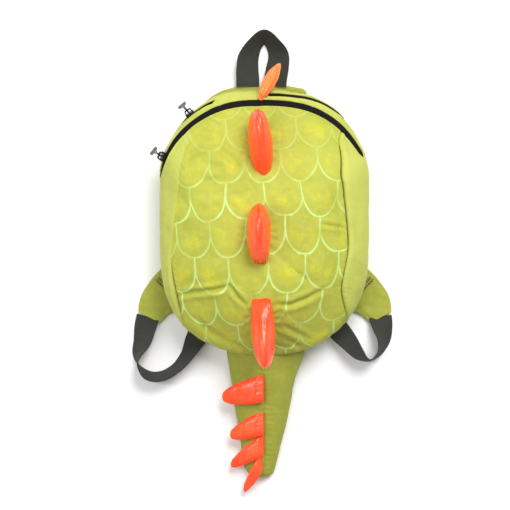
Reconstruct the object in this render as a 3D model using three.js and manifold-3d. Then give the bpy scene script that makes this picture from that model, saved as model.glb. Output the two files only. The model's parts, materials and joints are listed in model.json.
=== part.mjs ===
// A toddler's dinosaur backpack, lying on its back with the straps beneath it.
// The printed front panel, plain gusset and back panel are cloth walls round an
// open inside. Stuffed spikes run over the top, down the front and along the tail.
// Millimetres. +X is the bag's right in front view, +Y runs from tail to handle,
// +Z is up, out of the front panel. The origin is the middle of the back panel,
// on the plane that the bag lies on.
import * as THREE from 'three';
import { mergeVertices } from 'three/addons/utils/BufferGeometryUtils.js';
import Module from 'manifold-3d';

// Body of the bag
const bodyWidth = 220;
const bodyTop = 138;       // top edge of the back, above the origin
const bodyBottom = 144;    // lowest point of the bottom, below the origin
const bodyDepth = 94;      // from the floor to the crown of the front panel
const crownDrop = 45;      // how far below the origin the front panel is fullest
const shoulderHeight = 40; // where the straight sides turn into the arch
const hipDrop = 30;        // where the straight sides turn into the round bottom
const clothWall = 2;
const seamGap = 0.3;
const seatGap = 0.5;

// Zips
const frontZipWidth = 9;
const rearZipWidth = 6;
const zipTapeWall = 1.4;
const sliderLength = 10;
const sliderWidth = 8;
const sliderHeight = 2.6;
const bridgeWidth = 3;
const bridgeWall = 1.2;
const pullLength = 11.4;
const pullWall = 1.6;
const pullNeckWidth = 7.8;
const pullEndWidth = 10.5;
const pullEndLength = 3.8;
const pullPlay = 0.6;
const pullTwist = 78;      // degrees that the end plate is turned about the pull's length
const pullNeckRadius = 1.7;

// Tail
const tailLength = 135;
const tailWidth = 80;
const tailHeight = 40;

// Spikes: stuffed fins
const bodySpikeLength = 62;
const bodySpikeThick = 25;
const bodySpikeHeight = 42;
const topSpikeHeight = 38;
const topSpikeThick = 14;
const topSpikeLength = 13;
const tailSpikeHeight = 42;
const tailSpikeLength = 28;
const tailSpikeThick = 9;

// Straps, webbing and handle
const webbingWidth = 25;
const webbingWall = 1.6;
const strapWidth = 44;
const strapThick = 6;
const yokeWall = 2.4;
const handleHeight = 48.4; // from the yoke's edge to the middle of the loop's top

const upright = new THREE.Vector3(0, 0, 1);
const lerp = THREE.MathUtils.lerp;
const smoothstep = THREE.MathUtils.smoothstep;

// A turn goes once round the bag: 0 to 180 over the arch from right to left, then
// down the left side, round the bottom, and up the right side back to the start.
const archTurn = 180;
const sideTurn = 20;
const baseTurn = 180;
const wholeTurn = archTurn + sideTurn + baseTurn + sideTurn;
const archPower = 2.1;
const basePower = 2.3;

// Rings from the back seam to the front seam. Widths are shares of half the body's
// width, tops and bottoms of its top and bottom, heights of its depth.
const rings = [
  { name: 'back seam', width: 0.885, top: 0.925, bottom: 0.885, atTop: 0.11, atSide: 0.13, atBottom: 0.1 },
  { name: 'back bulge', width: 0.975, top: 1.0, bottom: 0.97, atTop: 0.215, atSide: 0.28, atBottom: 0.205 },
  { name: 'widest', width: 1.0, top: 0.98, bottom: 1.0, atTop: 0.33, atSide: 0.45, atBottom: 0.32 },
  { name: 'front bulge', width: 0.955, top: 0.925, bottom: 0.99, atTop: 0.445, atSide: 0.62, atBottom: 0.43 },
  { name: 'front seam', width: 0.83, top: 0.845, bottom: 0.945, atTop: 0.54, atSide: 0.755, atBottom: 0.49 },
];
const domePower = 2.2;
const backFlatShare = 0.8; // the back panel is flat out to this share of its seam

// Plan places from shares: x of half the body's width, y of its top or of its bottom
function planPlace({ x, y, ...rest }) {
  return { x: x * bodyWidth / 2, y: y * (y > 0 ? bodyTop : bodyBottom), ...rest };
}

// Shoulder strap, as its centreline under the bag and its width there
const strapPath = [
  { x: 0.2, y: 0.783, width: 1.0 },
  { x: 0.245, y: 0.652, width: 1.0 },
  { x: 0.364, y: 0.399, width: 1.0 },
  { x: 0.509, y: 0.072, width: 1.0 },
  { x: 0.655, y: -0.222, width: 1.0 },
  { x: 0.782, y: -0.417, width: 1.04 },
  { x: 0.927, y: -0.535, width: 1.02 },
  { x: 1.041, y: -0.625, width: 0.86 },
  { x: 1.109, y: -0.729, width: 0.6 },
].map(planPlace);
const rightStrapSpread = 1.04; // the right strap lies this much further out

function signedPower(value, power) {
  return Math.sign(value) * Math.abs(value) ** power;
}

function ringPoint(ring, turn) {
  const t = ((turn % wholeTurn) + wholeTurn) % wholeTurn;
  const halfWidth = ring.width * bodyWidth / 2;
  const top = ring.top * bodyTop;
  const bottom = -ring.bottom * bodyBottom;
  let x;
  let y;
  if (t <= archTurn) {
    const angle = THREE.MathUtils.degToRad(t);
    x = halfWidth * signedPower(Math.cos(angle), 2 / archPower);
    y = shoulderHeight + (top - shoulderHeight) * signedPower(Math.sin(angle), 2 / archPower);
  } else if (t <= archTurn + sideTurn) {
    x = -halfWidth;
    y = lerp(shoulderHeight, -hipDrop, (t - archTurn) / sideTurn);
  } else if (t <= archTurn + sideTurn + baseTurn) {
    const angle = THREE.MathUtils.degToRad(t - sideTurn);
    x = halfWidth * signedPower(Math.cos(angle), 2 / basePower);
    y = -hipDrop + (-hipDrop - bottom) * signedPower(Math.sin(angle), 2 / basePower);
  } else {
    x = halfWidth;
    y = lerp(-hipDrop, shoulderHeight, (t - wholeTurn + sideTurn) / sideTurn);
  }
  const up = Math.max(0, (y - shoulderHeight) / (top - shoulderHeight));
  const down = Math.max(0, (-hipDrop - y) / (-hipDrop - bottom));
  const share = ring.atSide + (ring.atTop - ring.atSide) * up ** 1.5
    + (ring.atBottom - ring.atSide) * down ** 1.5;
  return new THREE.Vector3(x, y, share * bodyDepth);
}

// Height that the back panel is lifted to where a shoulder strap lies under it.
const strapMargin = 5;
const strapSlope = 16;
function strapLift(x, y) {
  let nearest = Infinity;
  for (let i = 1; i < strapPath.length; i += 1) {
    const a = new THREE.Vector2(strapPath[i - 1].x, strapPath[i - 1].y);
    const b = new THREE.Vector2(strapPath[i].x, strapPath[i].y);
    const along = b.clone().sub(a);
    const p = new THREE.Vector2(Math.abs(x), y).sub(a);
    const share = THREE.MathUtils.clamp(p.dot(along) / along.lengthSq(), 0, 1);
    nearest = Math.min(nearest, p.distanceTo(along.multiplyScalar(share)));
  }
  const inner = strapWidth / 2 + strapMargin;
  return (strapThick + seatGap) * (1 - smoothstep(nearest, inner, inner + strapSlope));
}

// The outside of the bag. Across runs from -1, the middle of the back panel, through
// 0, its seam, and 1, the front seam, to 2, the crown of the front panel.
function skinPoint(turn, across) {
  if (across < 0) {
    const share = 1 + across;
    const seam = ringPoint(rings[0], turn);
    const rise = smoothstep(share, backFlatShare, 1) ** 1.3 * seam.z;
    const x = seam.x * share;
    const y = seam.y * share;
    return new THREE.Vector3(x, y, Math.max(rise, strapLift(x, y)));
  }
  if (across <= 1) {
    const curve = new THREE.CatmullRomCurve3(rings.map((ring) => ringPoint(ring, turn)));
    return curve.getPoint(across);
  }
  const share = Math.max(0, 2 - across);
  const seam = ringPoint(rings[rings.length - 1], turn);
  const crown = new THREE.Vector3(0, -crownDrop, bodyDepth);
  const x = lerp(crown.x, seam.x, share);
  const y = lerp(crown.y, seam.y, share);
  return new THREE.Vector3(x, y, crown.z - (crown.z - seam.z) * share ** domePower);
}

const skinStep = 0.012;
const turnStep = 1.5;
function skinNormal(turn, across) {
  if (across <= -1 + skinStep) return new THREE.Vector3(0, 0, -1);
  if (across >= 2 - skinStep) return new THREE.Vector3(0, 0, 1);
  const roundBag = skinPoint(turn + turnStep, across).sub(skinPoint(turn - turnStep, across));
  const overBag = skinPoint(turn, across + skinStep).sub(skinPoint(turn, across - skinStep));
  return roundBag.cross(overBag).normalize();
}

function skin(turn, across, lift) {
  return skinPoint(turn, across).addScaledVector(skinNormal(turn, across), lift);
}

// Distance over the skin for one unit of across, to turn millimetres into shares.
function acrossLength(turn, across) {
  const step = 0.05;
  return skinPoint(turn, across + step).distanceTo(skinPoint(turn, across - step)) / (2 * step);
}

function range(from, to, count) {
  return Array.from({ length: count + 1 }, (_, i) => lerp(from, to, i / count));
}

// Turns a closed mesh the right way round, so that its faces look outwards.
function facingOut(positions, index) {
  const corner = (i) => new THREE.Vector3().fromArray(positions, index[i] * 3);
  let volume = 0;
  for (let i = 0; i < index.length; i += 3) {
    volume += corner(i).dot(corner(i + 1).cross(corner(i + 2)));
  }
  if (volume < 0) {
    for (let i = 0; i < index.length; i += 3) {
      [index[i + 1], index[i + 2]] = [index[i + 2], index[i + 1]];
    }
  }
  const geometry = new THREE.BufferGeometry();
  geometry.setAttribute('position', new THREE.Float32BufferAttribute(positions, 3));
  geometry.setIndex(index);
  return geometry;
}

// A closed mesh from rows of points. Each row is an outline with the same count of
// points, and the first and the last are shut with a cap.
function closedLoft(rows) {
  const count = rows[0].length;
  const positions = rows.flat().flatMap((p) => [p.x, p.y, p.z]);
  const index = [];
  for (let r = 0; r < rows.length - 1; r += 1) {
    for (let c = 0; c < count; c += 1) {
      const a = r * count + c;
      const b = r * count + (c + 1) % count;
      index.push(a, b, b + count, a, b + count, a + count);
    }
  }
  for (let c = 1; c < count - 1; c += 1) {
    index.push(0, c + 1, c);
    const last = (rows.length - 1) * count;
    index.push(last, last + c, last + c + 1);
  }
  return facingOut(positions, index);
}

// A cloth wall over part of the skin. acrossAt(turn) gives the rows' places.
function clothSheet(turns, acrossAt, wall, lift = 0) {
  const rows = turns.map((turn) => {
    const places = acrossAt(turn);
    const outside = places.map((across) => skin(turn, across, lift));
    const inside = places.map((across) => skin(turn, across, lift - wall));
    return [...outside, ...inside.reverse()];
  });
  return closedLoft(rows);
}

// A whole panel: rings of points that close round the bag and end in a middle point.
function panelSheet(places, wall, turns) {
  const positions = [];
  const index = [];
  const count = turns.length;
  const layers = [0, -wall];
  layers.forEach((lift) => {
    places.forEach((across) => turns.forEach((turn) => {
      positions.push(...skin(turn, across, lift).toArray());
    }));
    positions.push(...skin(0, places[0] < 0 ? -1 : 2, lift).toArray());
  });
  const layerSize = places.length * count + 1;
  const quad = (a, b, c, d) => index.push(a, b, c, a, c, d);
  for (let c = 0; c < count; c += 1) {
    const next = (c + 1) % count;
    for (let r = 0; r < places.length - 1; r += 1) {
      const a = r * count + c;
      const b = r * count + next;
      quad(a, b, b + count, a + count);
      quad(layerSize + b, layerSize + a, layerSize + a + count, layerSize + b + count);
    }
    const last = (places.length - 1) * count;
    index.push(last + c, last + next, layerSize - 1);
    index.push(layerSize + last + next, layerSize + last + c, 2 * layerSize - 1);
    quad(next, c, layerSize + c, layerSize + next);
  }
  return facingOut(positions, index);
}

const wasm = await Module();
wasm.setup();

function toSolid(geometry) {
  const plain = geometry.clone();
  plain.deleteAttribute('normal');
  plain.deleteAttribute('uv');
  const merged = mergeVertices(plain, 1e-3);
  return new wasm.Manifold(new wasm.Mesh({
    numProp: 3,
    vertProperties: merged.attributes.position.array,
    triVerts: new Uint32Array(merged.index.array),
  }));
}

function toGeometry(solid) {
  const mesh = solid.getMesh();
  const geometry = new THREE.BufferGeometry();
  geometry.setAttribute('position', new THREE.Float32BufferAttribute(mesh.vertProperties, 3));
  geometry.setIndex(new THREE.BufferAttribute(mesh.triVerts, 1));
  return geometry;
}

// The largest piece that is left when the cutters are taken from a shape.
function cut(geometry, ...cutters) {
  let solid = toSolid(geometry);
  cutters.forEach((cutter) => {
    solid = solid.subtract(cutter);
  });
  const pieces = solid.decompose().sort((a, b) => b.volume() - a.volume());
  return toGeometry(pieces[0]);
}

// Stations round the bag
const archCount = 32;
const baseCount = 26;
const sideCount = 3;
const archEnd = 4; // the arch's strips stop this far above the straight sides
const allTurns = [
  ...range(0, archTurn, archCount).slice(0, -1),
  ...range(archTurn, archTurn + sideTurn, sideCount).slice(0, -1),
  ...range(archTurn + sideTurn, wholeTurn - sideTurn, baseCount).slice(0, -1),
  ...range(wholeTurn - sideTurn, wholeTurn, sideCount).slice(0, -1),
];
const archTurns = range(archEnd, archTurn - archEnd, archCount - 2);
const baseTurns = [
  archTurn - archEnd + 0.2,
  ...allTurns.filter((turn) => turn > archTurn - archEnd + 0.2),
  wholeTurn + archEnd - 0.2,
];

// Zip lines on the skin
const frontZipTop = 0.855;
const frontZipEnd = 0.5;
const rearZipTop = 0.635;
const rearZipEnd = 0.45;
const rearZipStart = 38;
const rearZipStop = 142;

function frontZipAcross(turn) {
  const share = Math.sin(THREE.MathUtils.degToRad(turn));
  return frontZipEnd + (frontZipTop - frontZipEnd) * Math.max(0, share) ** 0.45;
}

function rearZipAcross(turn) {
  const share = THREE.MathUtils.clamp((turn - rearZipStart) / (rearZipStop - rearZipStart), 0, 1);
  return rearZipEnd + (rearZipTop - rearZipEnd) * Math.sin(Math.PI * share) ** 0.6;
}

function inAcross(turn, across, millimetres) {
  return millimetres / acrossLength(turn, across);
}

// Edges of each band, with the seam's gap taken off both neighbours
function bandEdges(turn) {
  const front = frontZipAcross(turn);
  const rear = rearZipAcross(turn);
  const frontHalf = inAcross(turn, front, frontZipWidth / 2);
  const rearOpen = turn > rearZipStart && turn < rearZipStop;
  const rearHalf = rearOpen ? inAcross(turn, rear, rearZipWidth / 2) : inAcross(turn, rear, seamGap / 2);
  const gap = inAcross(turn, front, seamGap);
  return {
    rearLow: rear - rearHalf,
    rearHigh: rear + rearHalf,
    frontLow: front - frontHalf,
    frontHigh: front + frontHalf,
    gap,
  };
}

function spread(from, to, count) {
  return range(from, to, count);
}

const edgeGap = 0.003;
const frontPlaces = [1.06, 1.18, 1.36, 1.58, 1.8];
const backPlaces = [-0.06, -0.13, -0.21, -0.3, -0.4, -0.53, -0.72];

const parts = {};

parts.front_panel = panelSheet([1 + edgeGap, ...frontPlaces], clothWall, allTurns);
parts.back_panel = panelSheet([-edgeGap, ...backPlaces], clothWall, allTurns);
parts.gusset_base = clothSheet(baseTurns, () => spread(edgeGap, 1 - edgeGap, 7), clothWall);
parts.gusset_rear = clothSheet(archTurns, (turn) => {
  const edges = bandEdges(turn);
  return spread(edgeGap, edges.rearLow, 4);
}, clothWall);
parts.gusset_middle = clothSheet(archTurns, (turn) => {
  const edges = bandEdges(turn);
  return spread(edges.rearHigh + edges.gap, edges.frontLow - edges.gap, 2);
}, clothWall);
parts.gusset_front = clothSheet(archTurns, (turn) => {
  const edges = bandEdges(turn);
  return spread(edges.frontHigh + edges.gap, 1 - edgeGap, 2);
}, clothWall);
parts.zip_front = clothSheet(archTurns, (turn) => {
  const edges = bandEdges(turn);
  return spread(edges.frontLow, edges.frontHigh, 2);
}, zipTapeWall);

const rearTurns = archTurns.filter((turn) => turn > rearZipStart && turn < rearZipStop);
parts.zip_rear = clothSheet(rearTurns, (turn) => {
  const edges = bandEdges(turn);
  return spread(edges.rearLow + edges.gap, edges.rearHigh, 1);
}, zipTapeWall);

// The filled outside of the bag, a little larger, to seat pieces on it
function bodyCore(lift) {
  const places = [...backPlaces.toReversed(), ...spread(0, 1, 8), ...frontPlaces];
  const positions = [];
  const index = [];
  const count = allTurns.length;
  places.forEach((across) => allTurns.forEach((turn) => {
    positions.push(...skin(turn, across, lift).toArray());
  }));
  positions.push(...skin(0, -1, lift).toArray(), ...skin(0, 2, lift).toArray());
  const backMiddle = places.length * count;
  for (let c = 0; c < count; c += 1) {
    const next = (c + 1) % count;
    for (let r = 0; r < places.length - 1; r += 1) {
      const a = r * count + c;
      const b = r * count + next;
      index.push(a, b, b + count, a, b + count, a + count);
    }
    const top = (places.length - 1) * count;
    index.push(next, c, backMiddle, top + c, top + next, backMiddle + 1);
  }
  return toSolid(facingOut(positions, index));
}
const body = bodyCore(seatGap);

// Tail sections from the root to the tip, as shares of the tail's half width and height.
// The seam is the ridge that the two upper panels meet on.
const tailSections = [
  { along: -0.14, left: 0.96, right: 1.12, seam: 0.0, height: 1.0 },
  { along: 0.0, left: 0.97, right: 1.12, seam: 0.01, height: 0.97 },
  { along: 0.17, left: 0.885, right: 0.93, seam: 0.02, height: 0.86 },
  { along: 0.42, left: 0.76, right: 0.73, seam: 0.03, height: 0.68 },
  { along: 0.57, left: 0.68, right: 0.63, seam: 0.03, height: 0.58 },
  { along: 0.77, left: 0.58, right: 0.47, seam: 0.04, height: 0.46 },
  { along: 0.9, left: 0.53, right: 0.36, seam: 0.04, height: 0.39 },
  { along: 0.965, left: 0.42, right: 0.29, seam: 0.0, height: 0.33 },
  { along: 1.0, left: 0.24, right: 0.16, seam: -0.02, height: 0.24 },
];
const tailRootY = -(bodyBottom - 3);
const tailFlatShare = 0.7;  // how much of the half width lies flat on the floor
const tailEdgeHeight = 0.38;

function tailRow(section) {
  const y = tailRootY - section.along * tailLength;
  const seamX = section.seam * tailWidth / 2;
  const height = section.height * tailHeight;
  const half = (side) => {
    const reach = (side > 0 ? section.right : section.left) * tailWidth / 2;
    const width = side * reach - seamX;
    const slope = range(0, 1, 4).map((share) => {
      const angle = share * Math.PI / 2;
      const out = Math.sin(angle) ** 1.15;
      const rise = Math.cos(angle) ** 0.85;
      return [seamX + width * out, lerp(tailEdgeHeight, 1, rise) * height];
    });
    return [...slope, [seamX + width * 0.93, tailEdgeHeight * 0.35 * height], [seamX + width * tailFlatShare, 0]];
  };
  const right = half(1);
  const left = half(-1);
  const outline = [...right, ...left.slice(1).reverse()];
  return outline.map(([x, z]) => new THREE.Vector3(x, y, z));
}
const tailShape = closedLoft(tailSections.map(tailRow));
parts.tail = cut(tailShape, body);

// Straight from the table: the same tail swollen by the seat's gap, to seat its spikes
const tailCore = toSolid(closedLoft(tailSections.map((section) => tailRow(section).map((p) => (
  new THREE.Vector3(p.x + Math.sign(p.x) * seatGap, p.y, p.z + seatGap)
)))));

// A stuffed fin. Its base is centred on a point, runs along one direction and stands up
// along another. Sections give length, thickness and lean at each height.
const finSections = [
  { up: -0.16, length: 0.98, thick: 0.78, lean: 0 },
  { up: 0.0, length: 1.0, thick: 0.84, lean: 0 },
  { up: 0.2, length: 0.97, thick: 1.0, lean: 0.02 },
  { up: 0.42, length: 0.88, thick: 0.95, lean: 0.06 },
  { up: 0.62, length: 0.74, thick: 0.78, lean: 0.12 },
  { up: 0.8, length: 0.57, thick: 0.58, lean: 0.19 },
  { up: 0.93, length: 0.4, thick: 0.37, lean: 0.25 },
  { up: 1.0, length: 0.15, thick: 0.14, lean: 0.28 },
];
const finPoints = 14;
function fin({ base, along, up, length, thick, height, lean, sections = finSections }) {
  const upward = up.clone().normalize();
  const forward = along.clone().normalize();
  const sideways = upward.clone().cross(forward).normalize();
  const rows = sections.map((section) => {
    const centre = base.clone()
      .addScaledVector(upward, section.up * height)
      .addScaledVector(forward, section.lean * lean * length);
    return range(0, 2 * Math.PI, finPoints).slice(0, -1).map((angle) => centre.clone()
      .addScaledVector(forward, section.length * length / 2 * signedPower(Math.cos(angle), 0.9))
      .addScaledVector(sideways, section.thick * thick / 2 * signedPower(Math.sin(angle), 0.8)));
  });
  return closedLoft(rows);
}

function finOnPanel({ x, y, tilt, lean, length }) {
  const place = findPanelPlace(x * bodyWidth, y * (y > 0 ? bodyTop : bodyBottom));
  return fin({
    base: skinPoint(place.turn, place.across),
    along: new THREE.Vector3(-Math.sin(tilt), Math.cos(tilt), 0),
    up: skinNormal(place.turn, place.across),
    length: length * bodySpikeLength,
    thick: bodySpikeThick,
    height: bodySpikeHeight,
    lean,
  });
}

// The turn and across of a point of the front panel, from its plan position
function findPanelPlace(x, y) {
  let best = { turn: 0, across: 1, miss: Infinity };
  for (let turn = 0; turn < wholeTurn; turn += 2) {
    for (let across = 1; across < 2; across += 0.02) {
      const p = skinPoint(turn, across);
      const miss = Math.hypot(p.x - x, p.y - y);
      if (miss < best.miss) best = { turn, across, miss };
    }
  }
  return best;
}

// Plan positions of the body's spikes, as shares of the body's width and of its top or
// bottom, then their tilts in plan, leans along the body and lengths
const bodySpikes = [
  { name: 'spike_front_1', x: -0.017, y: 0.54, tilt: 0.12, lean: 0.15, length: 1.1 },
  { name: 'spike_front_2', x: -0.021, y: -0.105, tilt: 0.03, lean: 0.2, length: 0.98 },
  { name: 'spike_front_3', x: 0.006, y: -0.737, tilt: 0.06, lean: -0.35, length: 1.24 },
];
bodySpikes.forEach((spike) => {
  parts[spike.name] = cut(finOnPanel(spike), body);
});

// The top spike stands on the strip between the zips
const topSpikeTurn = 90;
const topSpikeEdges = bandEdges(topSpikeTurn);
const topSpikeAcross = (topSpikeEdges.rearHigh + topSpikeEdges.frontLow) / 2;
const topSpikeLean = new THREE.Vector3(0.52, 0.85, 0.18);
const leafSections = [
  { up: -0.12, length: 0.7, thick: 0.45, lean: 0 },
  { up: 0.0, length: 0.8, thick: 0.52, lean: 0 },
  { up: 0.15, length: 0.97, thick: 0.78, lean: 0 },
  { up: 0.36, length: 1.0, thick: 1.0, lean: 0 },
  { up: 0.6, length: 0.84, thick: 0.96, lean: 0 },
  { up: 0.8, length: 0.58, thick: 0.7, lean: 0 },
  { up: 0.93, length: 0.34, thick: 0.42, lean: 0 },
  { up: 1.0, length: 0.14, thick: 0.16, lean: 0 },
];
parts.spike_top = cut(fin({
  base: skin(topSpikeTurn, topSpikeAcross, seatGap),
  along: skinPoint(topSpikeTurn, topSpikeAcross + skinStep).sub(skinPoint(topSpikeTurn, topSpikeAcross)),
  up: topSpikeLean,
  length: topSpikeLength,
  thick: topSpikeThick,
  height: topSpikeHeight,
  lean: 0,
  sections: leafSections,
}), body);

// Tail spikes lie on the left half of the tail. Places are shares of the tail's length,
// heights and lengths of the tail spikes' own, swings radians towards the tip.
const tailSpikes = [
  { along: 0.29, height: 1.0, length: 1.0, swing: 0.24 },
  { along: 0.575, height: 0.81, length: 0.86, swing: 0.37 },
  { along: 0.756, height: 0.89, length: 0.78, swing: 0.58 },
  { along: 0.914, height: 0.73, length: 0.78, swing: 1.0 },
];

function tailAt(along) {
  const i = Math.max(1, tailSections.findIndex((section) => section.along >= along));
  const a = tailSections[i - 1];
  const b = tailSections[i];
  const share = (along - a.along) / (b.along - a.along);
  return {
    seamX: lerp(a.seam, b.seam, share) * tailWidth / 2,
    left: lerp(a.left, b.left, share) * tailWidth / 2,
    height: lerp(a.height, b.height, share) * tailHeight,
    y: tailRootY - along * tailLength,
  };
}

const tailSpikeRoot = 6; // how far down the tail's left side the spikes stand
let seated = tailCore;
tailSpikes.forEach((spike, i) => {
  const tail = tailAt(spike.along);
  const slope = (1 - tailEdgeHeight) * tail.height / (tail.left + tail.seamX) * 0.62;
  const shape = {
    base: new THREE.Vector3(tail.seamX - tailSpikeRoot, tail.y, tail.height + tailSpikeThick * 0.3),
    along: new THREE.Vector3(0, 1, 0),
    up: new THREE.Vector3(-Math.cos(spike.swing), -Math.sin(spike.swing), -slope),
    length: spike.length * tailSpikeLength,
    thick: tailSpikeThick,
    height: spike.height * tailSpikeHeight,
    lean: 0.05,
  };
  parts[`spike_tail_${i + 1}`] = cut(fin(shape), seated);
  const swollen = toSolid(fin({
    ...shape,
    length: shape.length + 2 * seatGap,
    thick: shape.thick + 2 * seatGap,
    height: shape.height + seatGap,
  }));
  seated = seated.add(swollen);
});

// A flat band along stations: centre, tilt of its width out of the floor plane in
// degrees, and the share of its whole width.
function ribbon(stations, width, wall, count) {
  const centre = new THREE.CatmullRomCurve3(stations.map((s) => new THREE.Vector3(s.x, s.y, s.z)));
  const tilts = new THREE.CatmullRomCurve3(stations.map((s) => new THREE.Vector3(s.tilt, 0, 0)));
  const rows = range(0, 1, count).map((share) => {
    const p = centre.getPoint(share);
    const forward = centre.getTangent(share);
    const tilt = THREE.MathUtils.degToRad(tilts.getPoint(share).x);
    const level = upright.clone().cross(forward).normalize();
    const lift = forward.clone().cross(level);
    const wide = level.multiplyScalar(Math.cos(tilt)).addScaledVector(lift, Math.sin(tilt));
    const thin = forward.clone().cross(wide).normalize();
    return [[1, 1], [-1, 1], [-1, -1], [1, -1]].map(([w, t]) => p.clone()
      .addScaledVector(wide, w * width / 2)
      .addScaledVector(thin, t * wall / 2));
  });
  return closedLoft(rows);
}

// Yoke: the stiff patch at the top of the back that the straps and the handle are sewn
// to. Its corners are shares of the body's width and top.
const yokeOutline = new THREE.Shape([
  [-0.31, 0.79], [-0.334, 0.851], [-0.28, 0.924], [-0.244, 0.971], [-0.2, 1.009], [-0.127, 1.04],
  [0.114, 1.046], [0.201, 1.022], [0.212, 1.0], [0.223, 0.928], [0.245, 0.79],
].map(([x, y]) => new THREE.Vector2(x * bodyWidth, y * bodyTop)));
const yokeLow = 0.79 * bodyTop;
const yokeTop = 1.04 * bodyTop;
const yokeFloor = strapThick - yokeWall;
function yokeBlock(swell) {
  const block = new THREE.ExtrudeGeometry(yokeOutline, { depth: yokeWall + 8 * swell, bevelEnabled: false });
  block.translate(0, swell, yokeFloor - 4 * swell);
  return block;
}
parts.back_yoke = cut(yokeBlock(0), body);

// Padded shoulder straps, flat under the bag and out at its sides. Swell makes them
// larger all round, to cut the webbing off at their ends.
const strapSection = [[1, 0.5], [0.82, 0.96], [0, 1], [-0.82, 0.96], [-1, 0.5], [-0.87, 0], [0.87, 0]];
function shoulderStrap(side, swell = 0) {
  const spreadOut = side > 0 ? rightStrapSpread : -1;
  const centre = new THREE.CatmullRomCurve3(strapPath.map((s) => new THREE.Vector3(spreadOut * s.x, s.y, 0)));
  const widths = new THREE.CatmullRomCurve3(strapPath.map((s) => new THREE.Vector3(s.width, 0, 0)));
  const rows = range(0, 1, 18).map((share) => {
    const forward = centre.getTangent(share);
    const p = centre.getPoint(share).addScaledVector(forward, (2 * share - 1) * swell);
    const level = upright.clone().cross(forward).normalize();
    const half = widths.getPoint(share).x * strapWidth / 2 + swell;
    return strapSection.map(([w, h]) => p.clone()
      .addScaledVector(level, w * half)
      .addScaledVector(upright, h * (strapThick + 2 * swell) - swell));
  });
  return closedLoft(rows);
}
const strapTrim = new THREE.BoxGeometry(bodyWidth, strapWidth, 4 * strapThick);
strapTrim.translate(0, yokeLow - seamGap + strapWidth / 2, 0);
parts.shoulder_strap_left = cut(shoulderStrap(-1), toSolid(strapTrim), body);
parts.shoulder_strap_right = cut(shoulderStrap(1), toSolid(strapTrim), body);

// The height at which a tilted band rests on the floor by its lower edge
function restingHeight(tilt) {
  const angle = THREE.MathUtils.degToRad(tilt);
  return webbingWidth / 2 * Math.abs(Math.sin(angle)) + webbingWall / 2 * Math.abs(Math.cos(angle));
}

const floorPlay = 0.4;
function onFloor(rows) {
  return rows.map(planPlace).map(({ rise, ...row }) => ({
    ...row,
    z: rise ? rise * strapThick : restingHeight(row.tilt) + floorPlay,
  }));
}

// Routes of the webbing loops, from the shoulder strap's end to the bag's bottom corner.
// Rise is a height as a share of the strap's, for the rows that don't stand on the floor.
const loopLeft = onFloor([
  { x: -1.124, y: -0.722, tilt: 4, rise: 0.53 },
  { x: -1.15, y: -0.806, tilt: 20 },
  { x: -1.173, y: -0.903, tilt: 38 },
  { x: -1.218, y: -1.0, tilt: 62 },
  { x: -1.218, y: -1.076, tilt: 88 },
  { x: -1.127, y: -1.156, tilt: 108 },
  { x: -1.0, y: -1.167, tilt: 112 },
  { x: -0.855, y: -1.111, tilt: 114 },
  { x: -0.736, y: -1.007, tilt: 124 },
  { x: -0.655, y: -0.889, tilt: 150 },
  { x: -0.564, y: -0.75, tilt: 177, rise: 1.67 },
]);
const loopRight = onFloor([
  { x: 1.15, y: -0.722, tilt: -6, rise: 0.53 },
  { x: 1.168, y: -0.8125, tilt: -30 },
  { x: 1.173, y: -0.91, tilt: -56 },
  { x: 1.127, y: -1.0, tilt: -76 },
  { x: 1.045, y: -1.045, tilt: -88 },
  { x: 0.945, y: -1.007, tilt: -118 },
  { x: 0.845, y: -0.917, tilt: -140 },
  { x: 0.736, y: -0.819, tilt: -160 },
  { x: 0.609, y: -0.701, tilt: -178, rise: 1.67 },
]);
const loopCount = 34;
parts.webbing_left = cut(
  ribbon(loopLeft, webbingWidth, webbingWall, loopCount),
  body,
  toSolid(shoulderStrap(-1, seamGap)),
);
parts.webbing_right = cut(
  ribbon(loopRight, webbingWidth, webbingWall, loopCount),
  body,
  toSolid(shoulderStrap(1, seamGap)),
);

// Grab handle: a webbing loop whose two ends come out over the yoke's top edge. Places are
// shares of its height above the yoke, tilts in degrees.
const handlePath = [
  { x: -0.333, reach: -0.08, tilt: 6, z: 0.03 },
  { x: -0.333, reach: 0.12, tilt: 10, z: 0.05 },
  { x: -0.342, reach: 0.36, tilt: 18, z: 0.065 },
  { x: -0.322, reach: 0.62, tilt: 30, z: 0.085 },
  { x: -0.183, reach: 0.91, tilt: 54, z: 0.14 },
  { x: 0.032, reach: 1.09, tilt: 62, z: 0.18 },
  { x: 0.228, reach: 0.92, tilt: 55, z: 0.14 },
  { x: 0.349, reach: 0.68, tilt: 32, z: 0.085 },
  { x: 0.328, reach: 0.42, tilt: 18, z: 0.065 },
  { x: 0.279, reach: 0.14, tilt: 10, z: 0.05 },
  { x: 0.263, reach: -0.08, tilt: 6, z: 0.03 },
].map(({ x, reach, tilt, z }) => ({
  x: x * handleHeight,
  y: yokeTop + reach * handleHeight,
  z: yokeFloor + yokeWall / 2 + z * handleHeight,
  tilt,
}));
const handleTrim = toSolid(yokeBlock(seamGap));
parts.grab_handle = cut(ribbon(handlePath, webbingWidth, webbingWall, 44), handleTrim, body);

// Zip sliders and their pulls, built flat and then stood on the zip: x along the zip,
// y across it, z out of the bag.
function plate(shape, depth) {
  return new THREE.ExtrudeGeometry(shape, { depth, bevelEnabled: false, curveSegments: 6 });
}

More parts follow.
